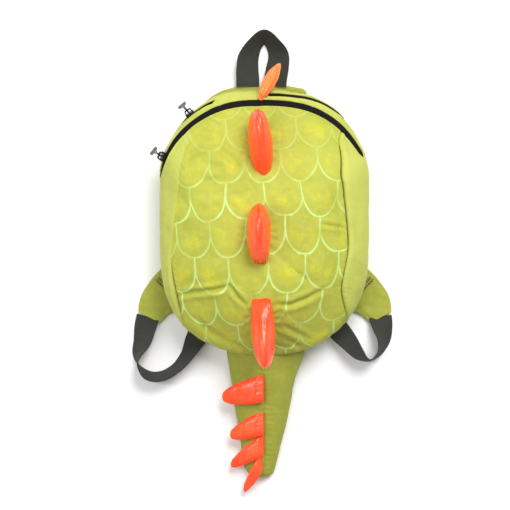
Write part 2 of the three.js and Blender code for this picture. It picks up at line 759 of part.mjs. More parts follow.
const bridgeHalf = sliderLength * 0.42;
const axisHeight = sliderHeight + 1.55;
const bridgeInside = 3.1;
function sliderShape() {
  const nose = sliderWidth * 0.32;
  const outline = new THREE.Shape([
    new THREE.Vector2(-sliderLength / 2, -nose),
    new THREE.Vector2(-sliderLength * 0.1, -sliderWidth / 2),
    new THREE.Vector2(sliderLength / 2, -sliderWidth / 2),
    new THREE.Vector2(sliderLength / 2, sliderWidth / 2),
    new THREE.Vector2(-sliderLength * 0.1, sliderWidth / 2),
    new THREE.Vector2(-sliderLength / 2, nose),
  ]);
  const foot = toSolid(plate(outline, sliderHeight));
  const crest = sliderHeight + bridgeInside + bridgeWall;
  const arch = new THREE.Shape([
    new THREE.Vector2(-bridgeHalf, sliderHeight - 0.4),
    new THREE.Vector2(bridgeHalf, sliderHeight - 0.4),
    new THREE.Vector2(bridgeHalf, crest - 1.4),
    new THREE.Vector2(bridgeHalf - 1.2, crest),
    new THREE.Vector2(-bridgeHalf + 1.2, crest),
    new THREE.Vector2(-bridgeHalf, crest - 1.4),
  ]);
  const hollow = bridgeHalf - bridgeWall;
  arch.holes.push(new THREE.Path([
    new THREE.Vector2(-hollow, sliderHeight + 0.01),
    new THREE.Vector2(hollow, sliderHeight + 0.01),
    new THREE.Vector2(hollow, sliderHeight + bridgeInside - 0.8),
    new THREE.Vector2(hollow - 0.8, sliderHeight + bridgeInside),
    new THREE.Vector2(-hollow + 0.8, sliderHeight + bridgeInside),
    new THREE.Vector2(-hollow, sliderHeight + bridgeInside - 0.8),
  ]));
  const bridge = plate(arch, bridgeWidth);
  bridge.rotateX(Math.PI / 2);
  bridge.translate(0, bridgeWidth / 2, 0);
  return toGeometry(foot.add(toSolid(bridge)));
}

function pullShape() {
  const bar = pullWall / 2;
  const neck = pullNeckWidth / 2;
  const waist = pullNeckRadius;
  const end = pullEndWidth / 2;
  const windowEnd = bridgeHalf + 1.8;
  const plateStart = pullLength - pullEndLength;
  const outline = new THREE.Shape([
    new THREE.Vector2(-neck, -bar),
    new THREE.Vector2(neck, -bar),
    new THREE.Vector2(neck, windowEnd + 0.8),
    new THREE.Vector2(waist, windowEnd + 1.5),
    new THREE.Vector2(waist, plateStart + 0.6),
    new THREE.Vector2(-waist, plateStart + 0.6),
    new THREE.Vector2(-waist, windowEnd + 1.5),
    new THREE.Vector2(-neck, windowEnd + 0.8),
  ]);
  const face = new THREE.Shape([
    new THREE.Vector2(-end * 0.72, plateStart),
    new THREE.Vector2(end * 0.72, plateStart),
    new THREE.Vector2(end, plateStart + 1.4),
    new THREE.Vector2(end, pullLength - 0.9),
    new THREE.Vector2(end - 1, pullLength),
    new THREE.Vector2(-end + 1, pullLength),
    new THREE.Vector2(-end, pullLength - 0.9),
    new THREE.Vector2(-end, plateStart + 1.4),
  ]);
  const open = bridgeWidth / 2 + pullPlay;
  outline.holes.push(new THREE.Path([
    new THREE.Vector2(-open, bar),
    new THREE.Vector2(open, bar),
    new THREE.Vector2(open, windowEnd),
    new THREE.Vector2(-open, windowEnd),
  ]));
  const frame = plate(outline, pullWall).translate(0, 0, -pullWall / 2);
  const endPlate = plate(face, pullWall).translate(0, 0, -pullWall / 2);
  endPlate.rotateY(THREE.MathUtils.degToRad(pullTwist));
  const boss = new THREE.CylinderGeometry(pullNeckRadius, pullNeckRadius, 2.4, 12);
  boss.translate(0, plateStart, 0);
  const tab = toGeometry(toSolid(frame).add(toSolid(endPlate)).add(toSolid(boss)));
  tab.rotateX(Math.PI / 2);
  tab.rotateZ(Math.PI / 2);
  tab.translate(0, 0, axisHeight);
  return tab;
}

// Stands a piece on a zip. Its x follows the zip, its z leaves the bag.
function zipFrame(turn, acrossOf) {
  const across = acrossOf(turn);
  const along = skinPoint(turn - 1, acrossOf(turn - 1)).sub(skinPoint(turn + 1, acrossOf(turn + 1)));
  const out = skinNormal(turn, across);
  along.addScaledVector(out, -along.dot(out)).normalize();
  const side = out.clone().cross(along);
  return new THREE.Matrix4().makeBasis(along, side, out)
    .setPosition(skin(turn, across, seatGap));
}

// Where each slider stands, and how far its pull leans along the zip at rest, in degrees
const zipPulls = [
  { name: 'front', turn: 165, lean: 12, acrossOf: frontZipAcross },
  { name: 'rear', turn: 133, lean: -8, acrossOf: rearZipAcross },
];
zipPulls.forEach(({ name, turn, lean, acrossOf }) => {
  const frame = zipFrame(turn, acrossOf);
  const tab = pullShape();
  tab.translate(0, 0, -axisHeight);
  tab.rotateY(THREE.MathUtils.degToRad(lean));
  tab.translate(0, 0, axisHeight);
  parts[`slider_${name}`] = sliderShape().applyMatrix4(frame);
  parts[`pull_${name}`] = tab.applyMatrix4(frame);
});

const lime = { color: 0xc3cf45, roughness: 0.7, metalness: 0 };
const orange = { color: 0xff5a2b, roughness: 0.45, metalness: 0 };
const grey = { color: 0x4b4c48, roughness: 0.85, metalness: 0 };
const black = { color: 0x101014, roughness: 0.6, metalness: 0 };
const steel = { color: 0xa9aaa6, roughness: 0.3, metalness: 1 };

function finish(name) {
  if (name.startsWith('spike')) return orange;
  if (name.startsWith('webbing') || name === 'grab_handle') return grey;
  if (name.startsWith('zip') || name.startsWith('slider')) return black;
  if (name.startsWith('pull')) return steel;
  return lime;
}

const backpack = new THREE.Group();
backpack.name = 'dinosaur_backpack';
Object.entries(parts).forEach(([name, geometry]) => {
  const mesh = new THREE.Mesh(geometry, new THREE.MeshStandardMaterial(finish(name)));
  mesh.name = name;
  backpack.add(mesh);
});

export default backpack;
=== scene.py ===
# Looks for a toddler's dinosaur backpack that lies on its back, seen from above.
# Tables are in millimetres and degrees, in the part's own frame. Meshes are in metres.
import json
import math
import bmesh
import bpy
import numpy as np
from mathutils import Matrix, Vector


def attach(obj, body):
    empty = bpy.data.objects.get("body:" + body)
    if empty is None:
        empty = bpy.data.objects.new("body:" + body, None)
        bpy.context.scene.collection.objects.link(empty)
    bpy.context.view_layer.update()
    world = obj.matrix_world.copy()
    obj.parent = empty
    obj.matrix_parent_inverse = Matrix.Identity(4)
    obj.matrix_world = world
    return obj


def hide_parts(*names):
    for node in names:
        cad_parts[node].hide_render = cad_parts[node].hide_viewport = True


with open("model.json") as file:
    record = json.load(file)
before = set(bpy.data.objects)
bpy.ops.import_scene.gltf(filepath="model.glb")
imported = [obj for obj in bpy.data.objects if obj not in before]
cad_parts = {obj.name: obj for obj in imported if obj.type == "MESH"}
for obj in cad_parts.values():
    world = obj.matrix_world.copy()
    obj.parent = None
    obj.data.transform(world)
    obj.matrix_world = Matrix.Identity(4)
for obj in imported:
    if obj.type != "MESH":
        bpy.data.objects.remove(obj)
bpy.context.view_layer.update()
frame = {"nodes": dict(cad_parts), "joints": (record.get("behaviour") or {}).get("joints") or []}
metre = 0.001
print("frame loaded")

# the cloth body, with the same sizes as the solids; its middle is at x 0, y 0
bag = {
    "width": 220, "top": 138, "bottom": 144, "depth": 94, "crownDrop": 45,
    "shoulder": 40, "hip": 30,
    "archPower": 2.1, "basePower": 2.3, "domePower": 2.2, "backFlat": 0.8,
    "archTurn": 180, "sideTurn": 20,
    # width, top, bottom, then height at the top, sides and bottom, from back seam to front seam
    "rings": [
        [0.885, 0.925, 0.885, 0.11, 0.13, 0.1],
        [0.975, 1.0, 0.97, 0.215, 0.28, 0.205],
        [1.0, 0.98, 1.0, 0.33, 0.45, 0.32],
        [0.955, 0.925, 0.99, 0.445, 0.62, 0.43],
        [0.83, 0.845, 0.945, 0.54, 0.755, 0.49],
    ],
}
strap = {
    "width": 44, "thick": 6, "rightSpread": 1.04, "margin": 5, "slope": 16, "seat": 0.5,
    "edge": 0.42,  # height of the side seam as a share of the thickness
    "hem": 3.4, "fill": 0.5,
    "start": 0.03,  # the strap starts this far along its path, under the yoke's edge
    "path": [  # x, y as shares of the body, width
        [0.2, 0.783, 1.0], [0.245, 0.652, 1.0], [0.364, 0.399, 1.0], [0.509, 0.072, 1.0],
        [0.655, -0.222, 1.0], [0.782, -0.417, 1.04], [0.927, -0.535, 1.02], [1.041, -0.625, 0.86],
        [1.109, -0.729, 0.6],
    ],
}


def planPlaces(rows):
    # places from shares: x of half the body's width, y of its top or of its bottom
    half = bag["width"] / 2
    return [[row[0] * half, row[1] * bag["top" if row[1] > 0 else "bottom"], *row[2:]] for row in rows]


wholeTurn = 2 * bag["archTurn"] + 2 * bag["sideTurn"]


def smoothStep(value, low, high):
    share = np.clip((value - low) / (high - low), 0, 1)
    return share * share * (3 - 2 * share)


def signedPower(value, power):
    return np.sign(value) * np.abs(value) ** power


def latticeValue(ix, iy, iz, seed):
    n = (ix * 374761393 + iy * 668265263 + iz * 1440662683 + seed * 1274126177) & 0xffffffff
    n = ((n ^ (n >> 13)) * 1274126177) & 0xffffffff
    return ((n ^ (n >> 16)) & 0xffff) / 32767.5 - 1.0


def softNoise(points, size, seed):
    place = points / np.asarray(size, float)
    cell = np.floor(place).astype(np.int64)
    f = place - cell
    f = f * f * f * (f * (f * 6 - 15) + 10)
    total = np.zeros(points.shape[:-1])
    for dx in (0, 1):
        for dy in (0, 1):
            for dz in (0, 1):
                weight = ((f[..., 0] if dx else 1 - f[..., 0])
                          * (f[..., 1] if dy else 1 - f[..., 1])
                          * (f[..., 2] if dz else 1 - f[..., 2]))
                corner = cell + [dx, dy, dz]
                total += weight * latticeValue(corner[..., 0], corner[..., 1], corner[..., 2], seed)
    return total


def crinkle(points, size, seed):
    # sharp creases with soft ends, 0 to 1
    return (1 - np.abs(softNoise(points, size, seed))) ** 5


def curveThrough(controls, share):
    # centripetal curve through rows of points; controls are (rows, count, 3), share is (count,)
    padded = np.concatenate([[2 * controls[0] - controls[1]], controls, [2 * controls[-1] - controls[-2]]])
    last = len(controls) - 1
    place = np.clip(share, 0, 1) * last
    i = np.clip(np.floor(place).astype(int), 0, last - 1)
    w = (place - i)[:, None]
    n = np.arange(len(share))
    a, b, c, d = (padded[i + k, n] for k in range(4))
    s0, s1, s2 = (np.maximum(np.linalg.norm(q - p, axis=1), 1e-6)[:, None] ** 0.5
                  for p, q in ((a, b), (b, c), (c, d)))
    t1 = ((b - a) / s0 - (c - a) / (s0 + s1) + (c - b) / s1) * s1
    t2 = ((c - b) / s1 - (d - b) / (s1 + s2) + (d - c) / s2) * s1
    return b + t1 * w + (3 * (c - b) - 2 * t1 - t2) * w ** 2 + (2 * (b - c) + t1 + t2) * w ** 3


def throughPoints(rows, count, start=0.0, end=1.0):
    rows = np.asarray(rows, float)
    share = np.linspace(start, end, count)
    return curveThrough(np.repeat(rows[:, None, :], count, axis=1), share)


def unitRows(vectors):
    return vectors / np.maximum(np.linalg.norm(vectors, axis=-1, keepdims=True), 1e-9)


def valley(distance, width, power=2):
    # the section of a groove or a hump, 1 in its middle
    return np.exp(-(distance / width) ** power)


def pairUp(a, b):
    a, b = np.broadcast_arrays(a, b)
    return np.stack([a, b], axis=-1)


def roundTurns(count):
    return np.linspace(0, 2 * np.pi, count + 1)[:-1]


def nearestOn(points, line):
    # distance to a polyline, and how far along it the nearest place is, 0 to 1
    nearest, place = np.full(points.shape[:-1], 1e9), np.zeros(points.shape[:-1])
    for k, (a, b) in enumerate(zip(line[:-1], line[1:])):
        along = b - a
        share = np.clip(((points - a) @ along) / (along @ along), 0, 1)
        distance = np.linalg.norm(points - a - share[..., None] * along, axis=-1)
        place = np.where(distance < nearest, (k + share) / (len(line) - 1), place)
        nearest = np.minimum(nearest, distance)
    return nearest, place


fuller = np.array([  # turn, and how far the cloth stands out there
    [0, 2.2], [20, 2.0], [30, 2.0], [42, 4.0], [55, 5.0], [64, 4.6], [72, 2.5], [80, 0.8], [92, 0],
    [104, 1.2], [116, 3.0], [124, 1.4], [130, 0.5], [140, 0.3], [150, 0], [168, 0], [185, -0.6],
    [200, -0.9], [215, -0.8], [230, 0], [345, 0], [360, 1.2], [380, 2.2], [400, 2.2],
])


def smoothed(turn, turns, values, step):
    # a value from a table, averaged over five places so that no kink shows
    return sum(np.interp(turn + n * step, turns, values) for n in (-2, -1, 0, 1, 2)) / 5


def ringPoint(ring, turn):
    width, top, bottom, atTop, atSide, atBottom = ring
    t = np.mod(turn, wholeTurn)
    half, top, bottom = width * bag["width"] / 2, top * bag["top"], -bottom * bag["bottom"]
    arch, side, low, high = bag["archTurn"], bag["sideTurn"], -bag["hip"], bag["shoulder"]
    onArch, onLeft = t <= arch, (t > arch) & (t <= arch + side)
    onBase = (t > arch + side) & (t <= 2 * arch + side)
    upper, lower = np.radians(t), np.radians(t - side)
    x = np.where(onArch, half * signedPower(np.cos(upper), 2 / bag["archPower"]),
                 np.where(onBase, half * signedPower(np.cos(lower), 2 / bag["basePower"]),
                          np.where(onLeft, -half, half)))
    y = np.where(onArch, high + (top - high) * signedPower(np.sin(upper), 2 / bag["archPower"]),
                 np.where(onBase, low + (low - bottom) * signedPower(np.sin(lower), 2 / bag["basePower"]),
                          np.where(onLeft, high + (low - high) * (t - arch) / side,
                                   low + (high - low) * (t - 2 * arch - side) / side)))
    up = np.maximum(0, (y - high) / (top - high))
    down = np.maximum(0, (low - y) / (low - bottom))
    share = atSide + (atTop - atSide) * up ** 1.5 + (atBottom - atSide) * down ** 1.5
    return np.stack([x, y, share * bag["depth"]], axis=-1)


def strapLift(x, y):
    path = np.array(planPlaces(strap["path"]))[:, :2]
    nearest, _ = nearestOn(np.stack([np.abs(x), y], axis=-1), path)
    inner = strap["width"] / 2 + strap["margin"]
    return (strap["thick"] + strap["seat"]) * (1 - smoothStep(nearest, inner, inner + strap["slope"]))


def bagPoint(turn, across):
    # across: -1 middle of the back, 0 back seam, 1 front seam, 2 crown of the front
    turn, across = (np.asarray(v, float) for v in np.broadcast_arrays(turn, across))
    shape = turn.shape
    turn, across = turn.ravel(), across.ravel()
    rings = np.stack([ringPoint(ring, turn) for ring in bag["rings"]])
    side = curveThrough(rings, np.clip(across, 0, 1))
    # the fullness starts above the back seam and mostly ends before the front seam
    full = sum(np.interp(np.mod(turn + d, wholeTurn), *fuller.T) for d in (-8, -4, 0, 4, 8)) / 5
    full *= smoothStep(across, 0.02, 0.3) * (1 - 0.75 * smoothStep(across, 0.55, 0.9))
    outward = unitRows(rings[2, :, :2]) * full[:, None]
    side[:, :2] += outward
    inward = np.clip(1 + across, 0, 1)
    bx, by = rings[0][:, 0] * inward, rings[0][:, 1] * inward
    rise = smoothStep(inward, bag["backFlat"], 1) ** 1.3 * rings[0][:, 2]
    back = np.stack([bx, by, np.maximum(rise, strapLift(bx, by))], axis=-1)
    out = np.clip(2 - across, 0, 1)[:, None]
    crown = np.array([0, -bag["crownDrop"], bag["depth"]])
    edge = rings[-1] + np.concatenate([outward, 0 * out], axis=-1)
    front = crown + (edge - crown) * out
    front[:, 2] = crown[2] - (crown[2] - rings[-1][:, 2]) * out[:, 0] ** bag["domePower"]
    point = np.where((across < 0)[:, None], back, np.where((across > 1)[:, None], front, side))
    return point.reshape(shape + (3,))


def bagNormal(turn, across):
    turn, across = np.broadcast_arrays(np.asarray(turn, float), np.asarray(across, float))
    roundBag = bagPoint(turn + 1.5, across) - bagPoint(turn - 1.5, across)
    overBag = bagPoint(turn, across + 0.012) - bagPoint(turn, across - 0.012)
    normal = unitRows(np.cross(roundBag, overBag))
    normal[across <= -0.988] = (0, 0, -1)
    normal[across >= 1.988] = (0, 0, 1)
    return normal


def softPoint(turn, across):
    # the body with its edge at the front ring rounded over
    near = np.exp(-((np.asarray(across, float) - 1) / 0.16) ** 2)[..., None]
    rounded = sum(w * bagPoint(turn, np.clip(across + d, -1, 2)) for w, d in (
        (0.12, -0.09), (0.22, -0.045), (0.32, 0), (0.22, 0.045), (0.12, 0.09)))
    return bagPoint(turn, across) * (1 - near) + rounded * near


def surfaceNormals(grid, wrapColumns=False):
    # normals of a grid from each point's neighbours
    if wrapColumns:
        alongColumns = np.roll(grid, -1, axis=1) - np.roll(grid, 1, axis=1)
    else:
        alongColumns = np.gradient(grid, axis=1)
    return unitRows(np.cross(alongColumns, np.gradient(grid, axis=0)))


def distancesAlong(points):
    steps = np.linalg.norm(np.diff(points, axis=0), axis=-1)
    return np.concatenate([[0], np.cumsum(steps)])


def makePiece(name, points, faces, material, body="bag", uv=None, printUv=None, replaced=(),
              sharpAngle=55, wall=0.0):
    mesh = bpy.data.meshes.new(name)
    mesh.from_pydata((np.asarray(points) * metre).tolist(), [], [list(f) for f in faces])
    for label, places in (("cloth", uv), ("print", printUv)):
        if places is not None:
            layer = mesh.uv_layers.new(name=label)
            loops = np.zeros(len(mesh.loops), np.int32)
            mesh.loops.foreach_get("vertex_index", loops)
            layer.data.foreach_set("uv", (np.asarray(places)[loops] * metre).ravel())
    built = bmesh.new()
    built.from_mesh(mesh)
    if wall:  # an open sheet: its doubled points are joined, and a modifier gives it its thickness
        bmesh.ops.remove_doubles(built, verts=built.verts, dist=0.01 * metre)
        bmesh.ops.delete(built, geom=[v for v in built.verts if not v.link_faces], context="VERTS")
    else:
        bmesh.ops.recalc_face_normals(built, faces=built.faces)
    limit = math.radians(sharpAngle)
    for edge in built.edges:
        edge.smooth = not (len(edge.link_faces) == 2 and edge.calc_face_angle() > limit)
    for face in built.faces:
        face.smooth = True
    built.to_mesh(mesh)
    built.free()
    mesh.materials.append(material)
    piece = bpy.data.objects.new(name, mesh)
    bpy.context.scene.collection.objects.link(piece)
    if wall:
        thickness = piece.modifiers.new("wall", "SOLIDIFY")
        thickness.thickness, thickness.offset = wall * metre, -1
    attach(piece, body)
    if replaced:
        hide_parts(*replaced)
    return piece


def gridFaces(rows, columns, start=0, wrapColumns=False):
    r, c = np.indices((rows - 1, columns if wrapColumns else columns - 1))
    here, beside = r * columns + c, r * columns + (c + 1) % columns
    quads = np.stack([here, beside, beside + columns, here + columns], axis=-1)
    return (quads.reshape(-1, 4) + start).tolist()


def clothShell(name, outer, normals, wall, material, replaced, wrap=False, uv=None,
               closeAt=None):
    # a cloth wall: an outer and an inner grid joined round their rims; rows run over the cloth
    rows, columns = outer.shape[:2]
    inner = outer - normals * wall
    points = np.concatenate([outer.reshape(-1, 3), inner.reshape(-1, 3)])
    layer = rows * columns
    faces = [face for start in (0, layer) for face in gridFaces(rows, columns, start, wrapColumns=wrap)]

    def rim(ids):
        return [[a, b, b + layer, a + layer] for a, b in zip(ids, ids[1:])]

    around = list(range(columns)) + [0] * wrap
    last = (rows - 1) * columns
    faces += rim(around)
    if closeAt is None:
        faces += rim([last + c for c in around])
    else:  # the last row shrinks to a middle point on both faces
        tip = len(points)
        points = np.concatenate([points, [closeAt, closeAt - normals[-1].mean(0) * wall]])
        for n in (0, 1):
            start = last + n * layer
            faces += [[start + c, start + (c + 1) % columns, tip + n] for c in range(columns)]
    if not wrap:
        for c in (0, columns - 1):
            faces += rim([r * columns + c for r in range(rows)])
    if uv is not None:
        uv = np.concatenate([uv.reshape(-1, 2)] * 2)
        if closeAt is not None:
            uv = np.concatenate([uv, [uv[layer - 1]] * 2])
    return makePiece(name, points, faces, material, uv=uv, replaced=replaced)


def closedLoft(rows):
    # points and faces of a solid through rows of outlines, capped at both ends
    count, columns = rows.shape[:2]
    faces = gridFaces(count, columns, wrapColumns=True)
    points = np.concatenate([rows.reshape(-1, 3), [rows[0].mean(0), rows[-1].mean(0)]])
    first, last = count * columns, count * columns + 1
    faces += [[(c + 1) % columns, c, first] for c in range(columns)]
    base = (count - 1) * columns
    faces += [[base + c, base + (c + 1) % columns, last] for c in range(columns)]
    return points, faces


def foldDepth(points, folds):
    # a crease along each polyline: x and y of its points, width, depth, and how far its lips rise
    depth = np.zeros(points.shape[:-1])
    for line, width, deep, lip in folds:
        nearest, place = nearestOn(points[..., :2], np.asarray(line, float))
        fade = np.sin(np.pi * np.clip(place, 0.02, 0.98)) ** 0.5
        lips = valley(nearest - 2.2 * width, 1.3 * width)
        depth += fade * (lip * lips - deep * valley(nearest, width))
    return depth


# materials
def newMaterial(name):
    material = bpy.data.materials.new(name)
    material.use_nodes = True
    tree = material.node_tree
    return material, tree, tree.nodes["Principled BSDF"]


def clothPlaces(tree):
    # a point's place on the object, and its place on the flat cloth
    place = addNode(tree, "ShaderNodeTexCoord").outputs["Object"]
    return place, addNode(tree, "ShaderNodeUVMap", uv_map="cloth").outputs[0]


socketNames = {
    "rough": "Roughness", "sheen": "Sheen Weight", "sheenRough": "Sheen Roughness",
    "sheenTint": "Sheen Tint", "shine": "Specular IOR Level", "paintedGlow": "Emission Strength",
}


def setSockets(shader, look, *labels):
    for label in labels:
        value = (*look[label], 1) if label == "sheenTint" else look[label]
        shader.inputs[socketNames[label]].default_value = value


def addNode(tree, kind, inputs=None, **settings):
    node = tree.nodes.new(kind)
    for key, value in settings.items():
        setattr(node, key, value)
    for key, value in (inputs or {}).items():
        if isinstance(value, bpy.types.NodeSocket):
            tree.links.new(value, node.inputs[key])
        else:
            node.inputs[key].default_value = value
    return node


def maths(tree, operation, a, b=None):
    inputs = {k: v for k, v in enumerate((a, b)) if v is not None}
    return addNode(tree, "ShaderNodeMath", inputs, operation=operation).outputs[0]


def plus(tree, a, b):
    return maths(tree, "ADD", a, b)


def minus(tree, a, b):
    return maths(tree, "SUBTRACT", a, b)


def times(tree, a, b):
    return maths(tree, "MULTIPLY", a, b)


def restOf(tree, share):
    return minus(tree, 1, share)


def splitVector(tree, vector):
    return addNode(tree, "ShaderNodeSeparateXYZ", {0: vector}).outputs


def shiftVector(tree, operation, a, b):
    return addNode(tree, "ShaderNodeVectorMath", {0: a, 1: b}, operation=operation).outputs[0]


def mixColour(tree, share, a, b):
    node = addNode(tree, "ShaderNodeMix", data_type="RGBA")
    for socket, value in ((0, share), (6, a), (7, b)):
        if isinstance(value, bpy.types.NodeSocket):
            tree.links.new(value, node.inputs[socket])
        else:
            node.inputs[socket].default_value = value if socket == 0 else (*value, 1)
    return node.outputs[2]


def noiseField(tree, vector, scale, detail=3, rough=0.5):
    settings = {"Vector": vector, "Scale": scale, "Detail": detail, "Roughness": rough}
    return addNode(tree, "ShaderNodeTexNoise", settings).outputs["Fac"]


def ramp(tree, value, low, high):
    node = addNode(tree, "ShaderNodeMapRange", {"Value": value, "From Min": low, "From Max": high})
    node.interpolation_type = "SMOOTHSTEP"
    return node.outputs[0]


def bumpFrom(tree, height, strength, distance, normal=None):
    inputs = {"Height": height, "Strength": strength, "Distance": distance}
    if normal is not None:
        inputs["Normal"] = normal
    return addNode(tree, "ShaderNodeBump", inputs).outputs[0]


def weaveHeight(tree, uv, threads):
    # plain weave: two sets of threads that pass over and under each other
    split = splitVector(tree, uv)
    u, v = (times(tree, split[k], threads * math.pi) for k in (0, 1))
    return maths(tree, "ABSOLUTE", times(tree, maths(tree, "SINE", u), maths(tree, "COSINE", v)))


clothLook = {
    "colour": (0.40, 0.42, 0.052), "lightColour": (0.50, 0.53, 0.115), "darkColour": (0.29, 0.31, 0.034),
    "rough": 0.66, "roughSpread": 0.16, "shine": 0.25,
    "sheen": 0.12, "sheenRough": 0.4, "sheenTint": (0.95, 1.0, 0.45),
    "threads": 1900, "weaveBump": 0.18, "crinkleBump": 0.3,
    "blotchSize": 26, "blotches": 0.35, "fleckSize": 160, "flecks": 0.28,
}


def clothMaterial(name, tint=1.0, pale=0.0, printed=False):
    look = clothLook
    material, tree, shader = newMaterial(name)
    place, uv = clothPlaces(tree)
    base, light, dark = (tuple(c * tint for c in look[k]) for k in ("colour", "lightColour", "darkColour"))
    base = tuple(b + (l - b) * pale for b, l in zip(base, light))
    blotch = ramp(tree, noiseField(tree, place, look["blotchSize"], 4, 0.6), 0.36, 0.66)
    colour = mixColour(tree, times(tree, blotch, look["blotches"]), base, dark)
    fleck = ramp(tree, noiseField(tree, place, look["fleckSize"], 3, 0.65), 0.45, 0.7)
    colour = mixColour(tree, times(tree, fleck, look["flecks"]), colour, light)
    if printed:
        printPlace = addNode(tree, "ShaderNodeUVMap", uv_map="print").outputs[0]
        colour = scalePrint(tree, printPlace, colour)
    tree.links.new(colour, shader.inputs["Base Color"])
    patches = times(tree, noiseField(tree, place, 60), look["roughSpread"])
    tree.links.new(plus(tree, patches, look["rough"] - look["roughSpread"] / 2), shader.inputs["Roughness"])
    setSockets(shader, look, "sheen", "sheenRough", "sheenTint", "shine")
    stretched = addNode(tree, "ShaderNodeMapping", {"Vector": place, "Scale": (1, 1.7, 1)}).outputs[0]
    crease = noiseField(tree, stretched, 75, 5, 0.62)
    soft = bumpFrom(tree, crease, look["crinkleBump"], 0.0016)
    weave = bumpFrom(tree, weaveHeight(tree, uv, look["threads"]), look["weaveBump"], 0.00012, soft)
    tree.links.new(weave, shader.inputs["Normal"])
    return material


# rows of fish scales on the front panel, in metres
scaleShapes = {
    "pitchAcross": 0.0377, "pitchDown": 0.0366, "round": 0.0252, "firstRow": -0.0017, "middle": -0.0148,
    "line": 0.00085, "lineColour": (0.50, 0.72, 0.24), "wobble": 0.007,
    "yellow": (0.58, 0.55, 0.025), "yellowShare": 0.62, "olive": (0.33, 0.35, 0.035), "oliveShare": 0.30,
    "fadeFrom": 0.015, "fadeTo": 0.075, "fade": 0.82,  # the lines grow fainter towards the top
}


def scalePrint(tree, place, cloth):
    look = scaleShapes
    wobble = addNode(tree, "ShaderNodeTexNoise", {"Vector": place, "Scale": 22, "Detail": 1})
    shift = shiftVector(tree, "SUBTRACT", wobble.outputs["Color"], (0.5, 0.5, 0.5))
    shift = shiftVector(tree, "MULTIPLY", shift, (look["wobble"],) * 3)
    across, up, _ = splitVector(tree, shiftVector(tree, "ADD", place, shift))
    # which scale a point is in, and where it is in that scale
    down = maths(tree, "DIVIDE", minus(tree, up, look["firstRow"]), look["pitchDown"])
    row = maths(tree, "FLOOR", down)
    above = times(tree, minus(tree, down, row), look["pitchDown"])
    odd = times(tree, maths(tree, "PINGPONG", row, 1.0), 0.5)
    sideways = maths(tree, "DIVIDE", minus(tree, across, look["middle"]), look["pitchAcross"])
    column = plus(tree, sideways, odd)
    fromMiddle = minus(tree, column, maths(tree, "ROUND", column))  # -0.5 to 0.5
    reach = maths(tree, "ABSOLUTE", times(tree, fromMiddle, 2))
    fall = maths(tree, "DIVIDE", minus(tree, look["round"], above), look["round"])
    fall = maths(tree, "MAXIMUM", fall, 0)
    radius = maths(tree, "SQRT", plus(tree, maths(tree, "POWER", reach, 2), maths(tree, "POWER", fall, 2)))
    away = maths(tree, "ABSOLUTE", times(tree, minus(tree, radius, 1), look["round"] * 0.84))
    # the painted line, broken and faint in places
    thick = times(tree, plus(tree, noiseField(tree, place, 35, 2), 0.55), look["line"])
    line = restOf(tree, ramp(tree, maths(tree, "DIVIDE", away, thick), 0.55, 1.5))
    toTop = ramp(tree, splitVector(tree, place)[1], look["fadeFrom"], look["fadeTo"])
    clear = times(tree, ramp(tree, noiseField(tree, place, 30, 2), 0.30, 0.62),
                  restOf(tree, times(tree, toTop, look["fade"])))
    clear = plus(tree, times(tree, clear, 0.72), 0.18)
    # brushed yellow inside a scale, olive under its line
    topFade = ramp(tree, above, 0.5 * look["pitchDown"], 0.95 * look["pitchDown"])
    inside = times(tree, restOf(tree, ramp(tree, radius, 0.35, 1.0)), restOf(tree, topFade))
    brushed = times(tree, inside, ramp(tree, noiseField(tree, place, 48, 4, 0.7), 0.42, 0.66))
    cloth = mixColour(tree, times(tree, brushed, look["yellowShare"]), cloth, look["yellow"])
    under = times(tree, restOf(tree, ramp(tree, away, 0.001, 0.007)), ramp(tree, radius, 0.95, 1.05))
    cloth = mixColour(tree, times(tree, under, look["oliveShare"]), cloth, look["olive"])
    return mixColour(tree, times(tree, line, clear), cloth, look["lineColour"])


satinLook = {
    "colour": (0.90, 0.062, 0.012), "lightColour": (0.95, 0.095, 0.02),
    "topColour": (0.92, 0.17, 0.03), "topLightColour": (0.96, 0.23, 0.05),  # the spike between the zips
    "rough": 0.24, "shine": 0.5, "sheen": 0.15, "sheenRough": 0.3, "sheenTint": (1.0, 0.35, 0.15),
    "threads": 2200, "weaveBump": 0.1,
    "paintedGlow": 0.16,  # painted glow: the satin emits light of its own colour, so the spikes look brighter than the lamps make them
}


def satinMaterial(name, colour, lightColour):
    look = satinLook
    material, tree, shader = newMaterial(name)
    place, uv = clothPlaces(tree)
    blotch = ramp(tree, noiseField(tree, place, 55, 4, 0.6), 0.35, 0.7)
    tree.links.new(mixColour(tree, blotch, colour, lightColour), shader.inputs["Base Color"])
    setSockets(shader, look, "rough", "sheen", "sheenRough", "sheenTint", "shine", "paintedGlow")
    # painted glow: the emission in the satin's own colour lights the spikes beyond what the lamps give
    shader.inputs["Emission Color"].default_value = (*colour, 1)
    soft = bumpFrom(tree, noiseField(tree, place, 110, 3, 0.55), 0.25, 0.0009)
    weave = bumpFrom(tree, weaveHeight(tree, uv, look["threads"]), look["weaveBump"], 0.0001, soft)
    tree.links.new(weave, shader.inputs["Normal"])
    return material


webbingLook = {
    "colour": (0.02, 0.0205, 0.017), "threadColour": (0.052, 0.053, 0.045), "ribs": 620, "picks": 900,
    "rough": 0.82, "shine": 0.22, "sheen": 0.04,
}


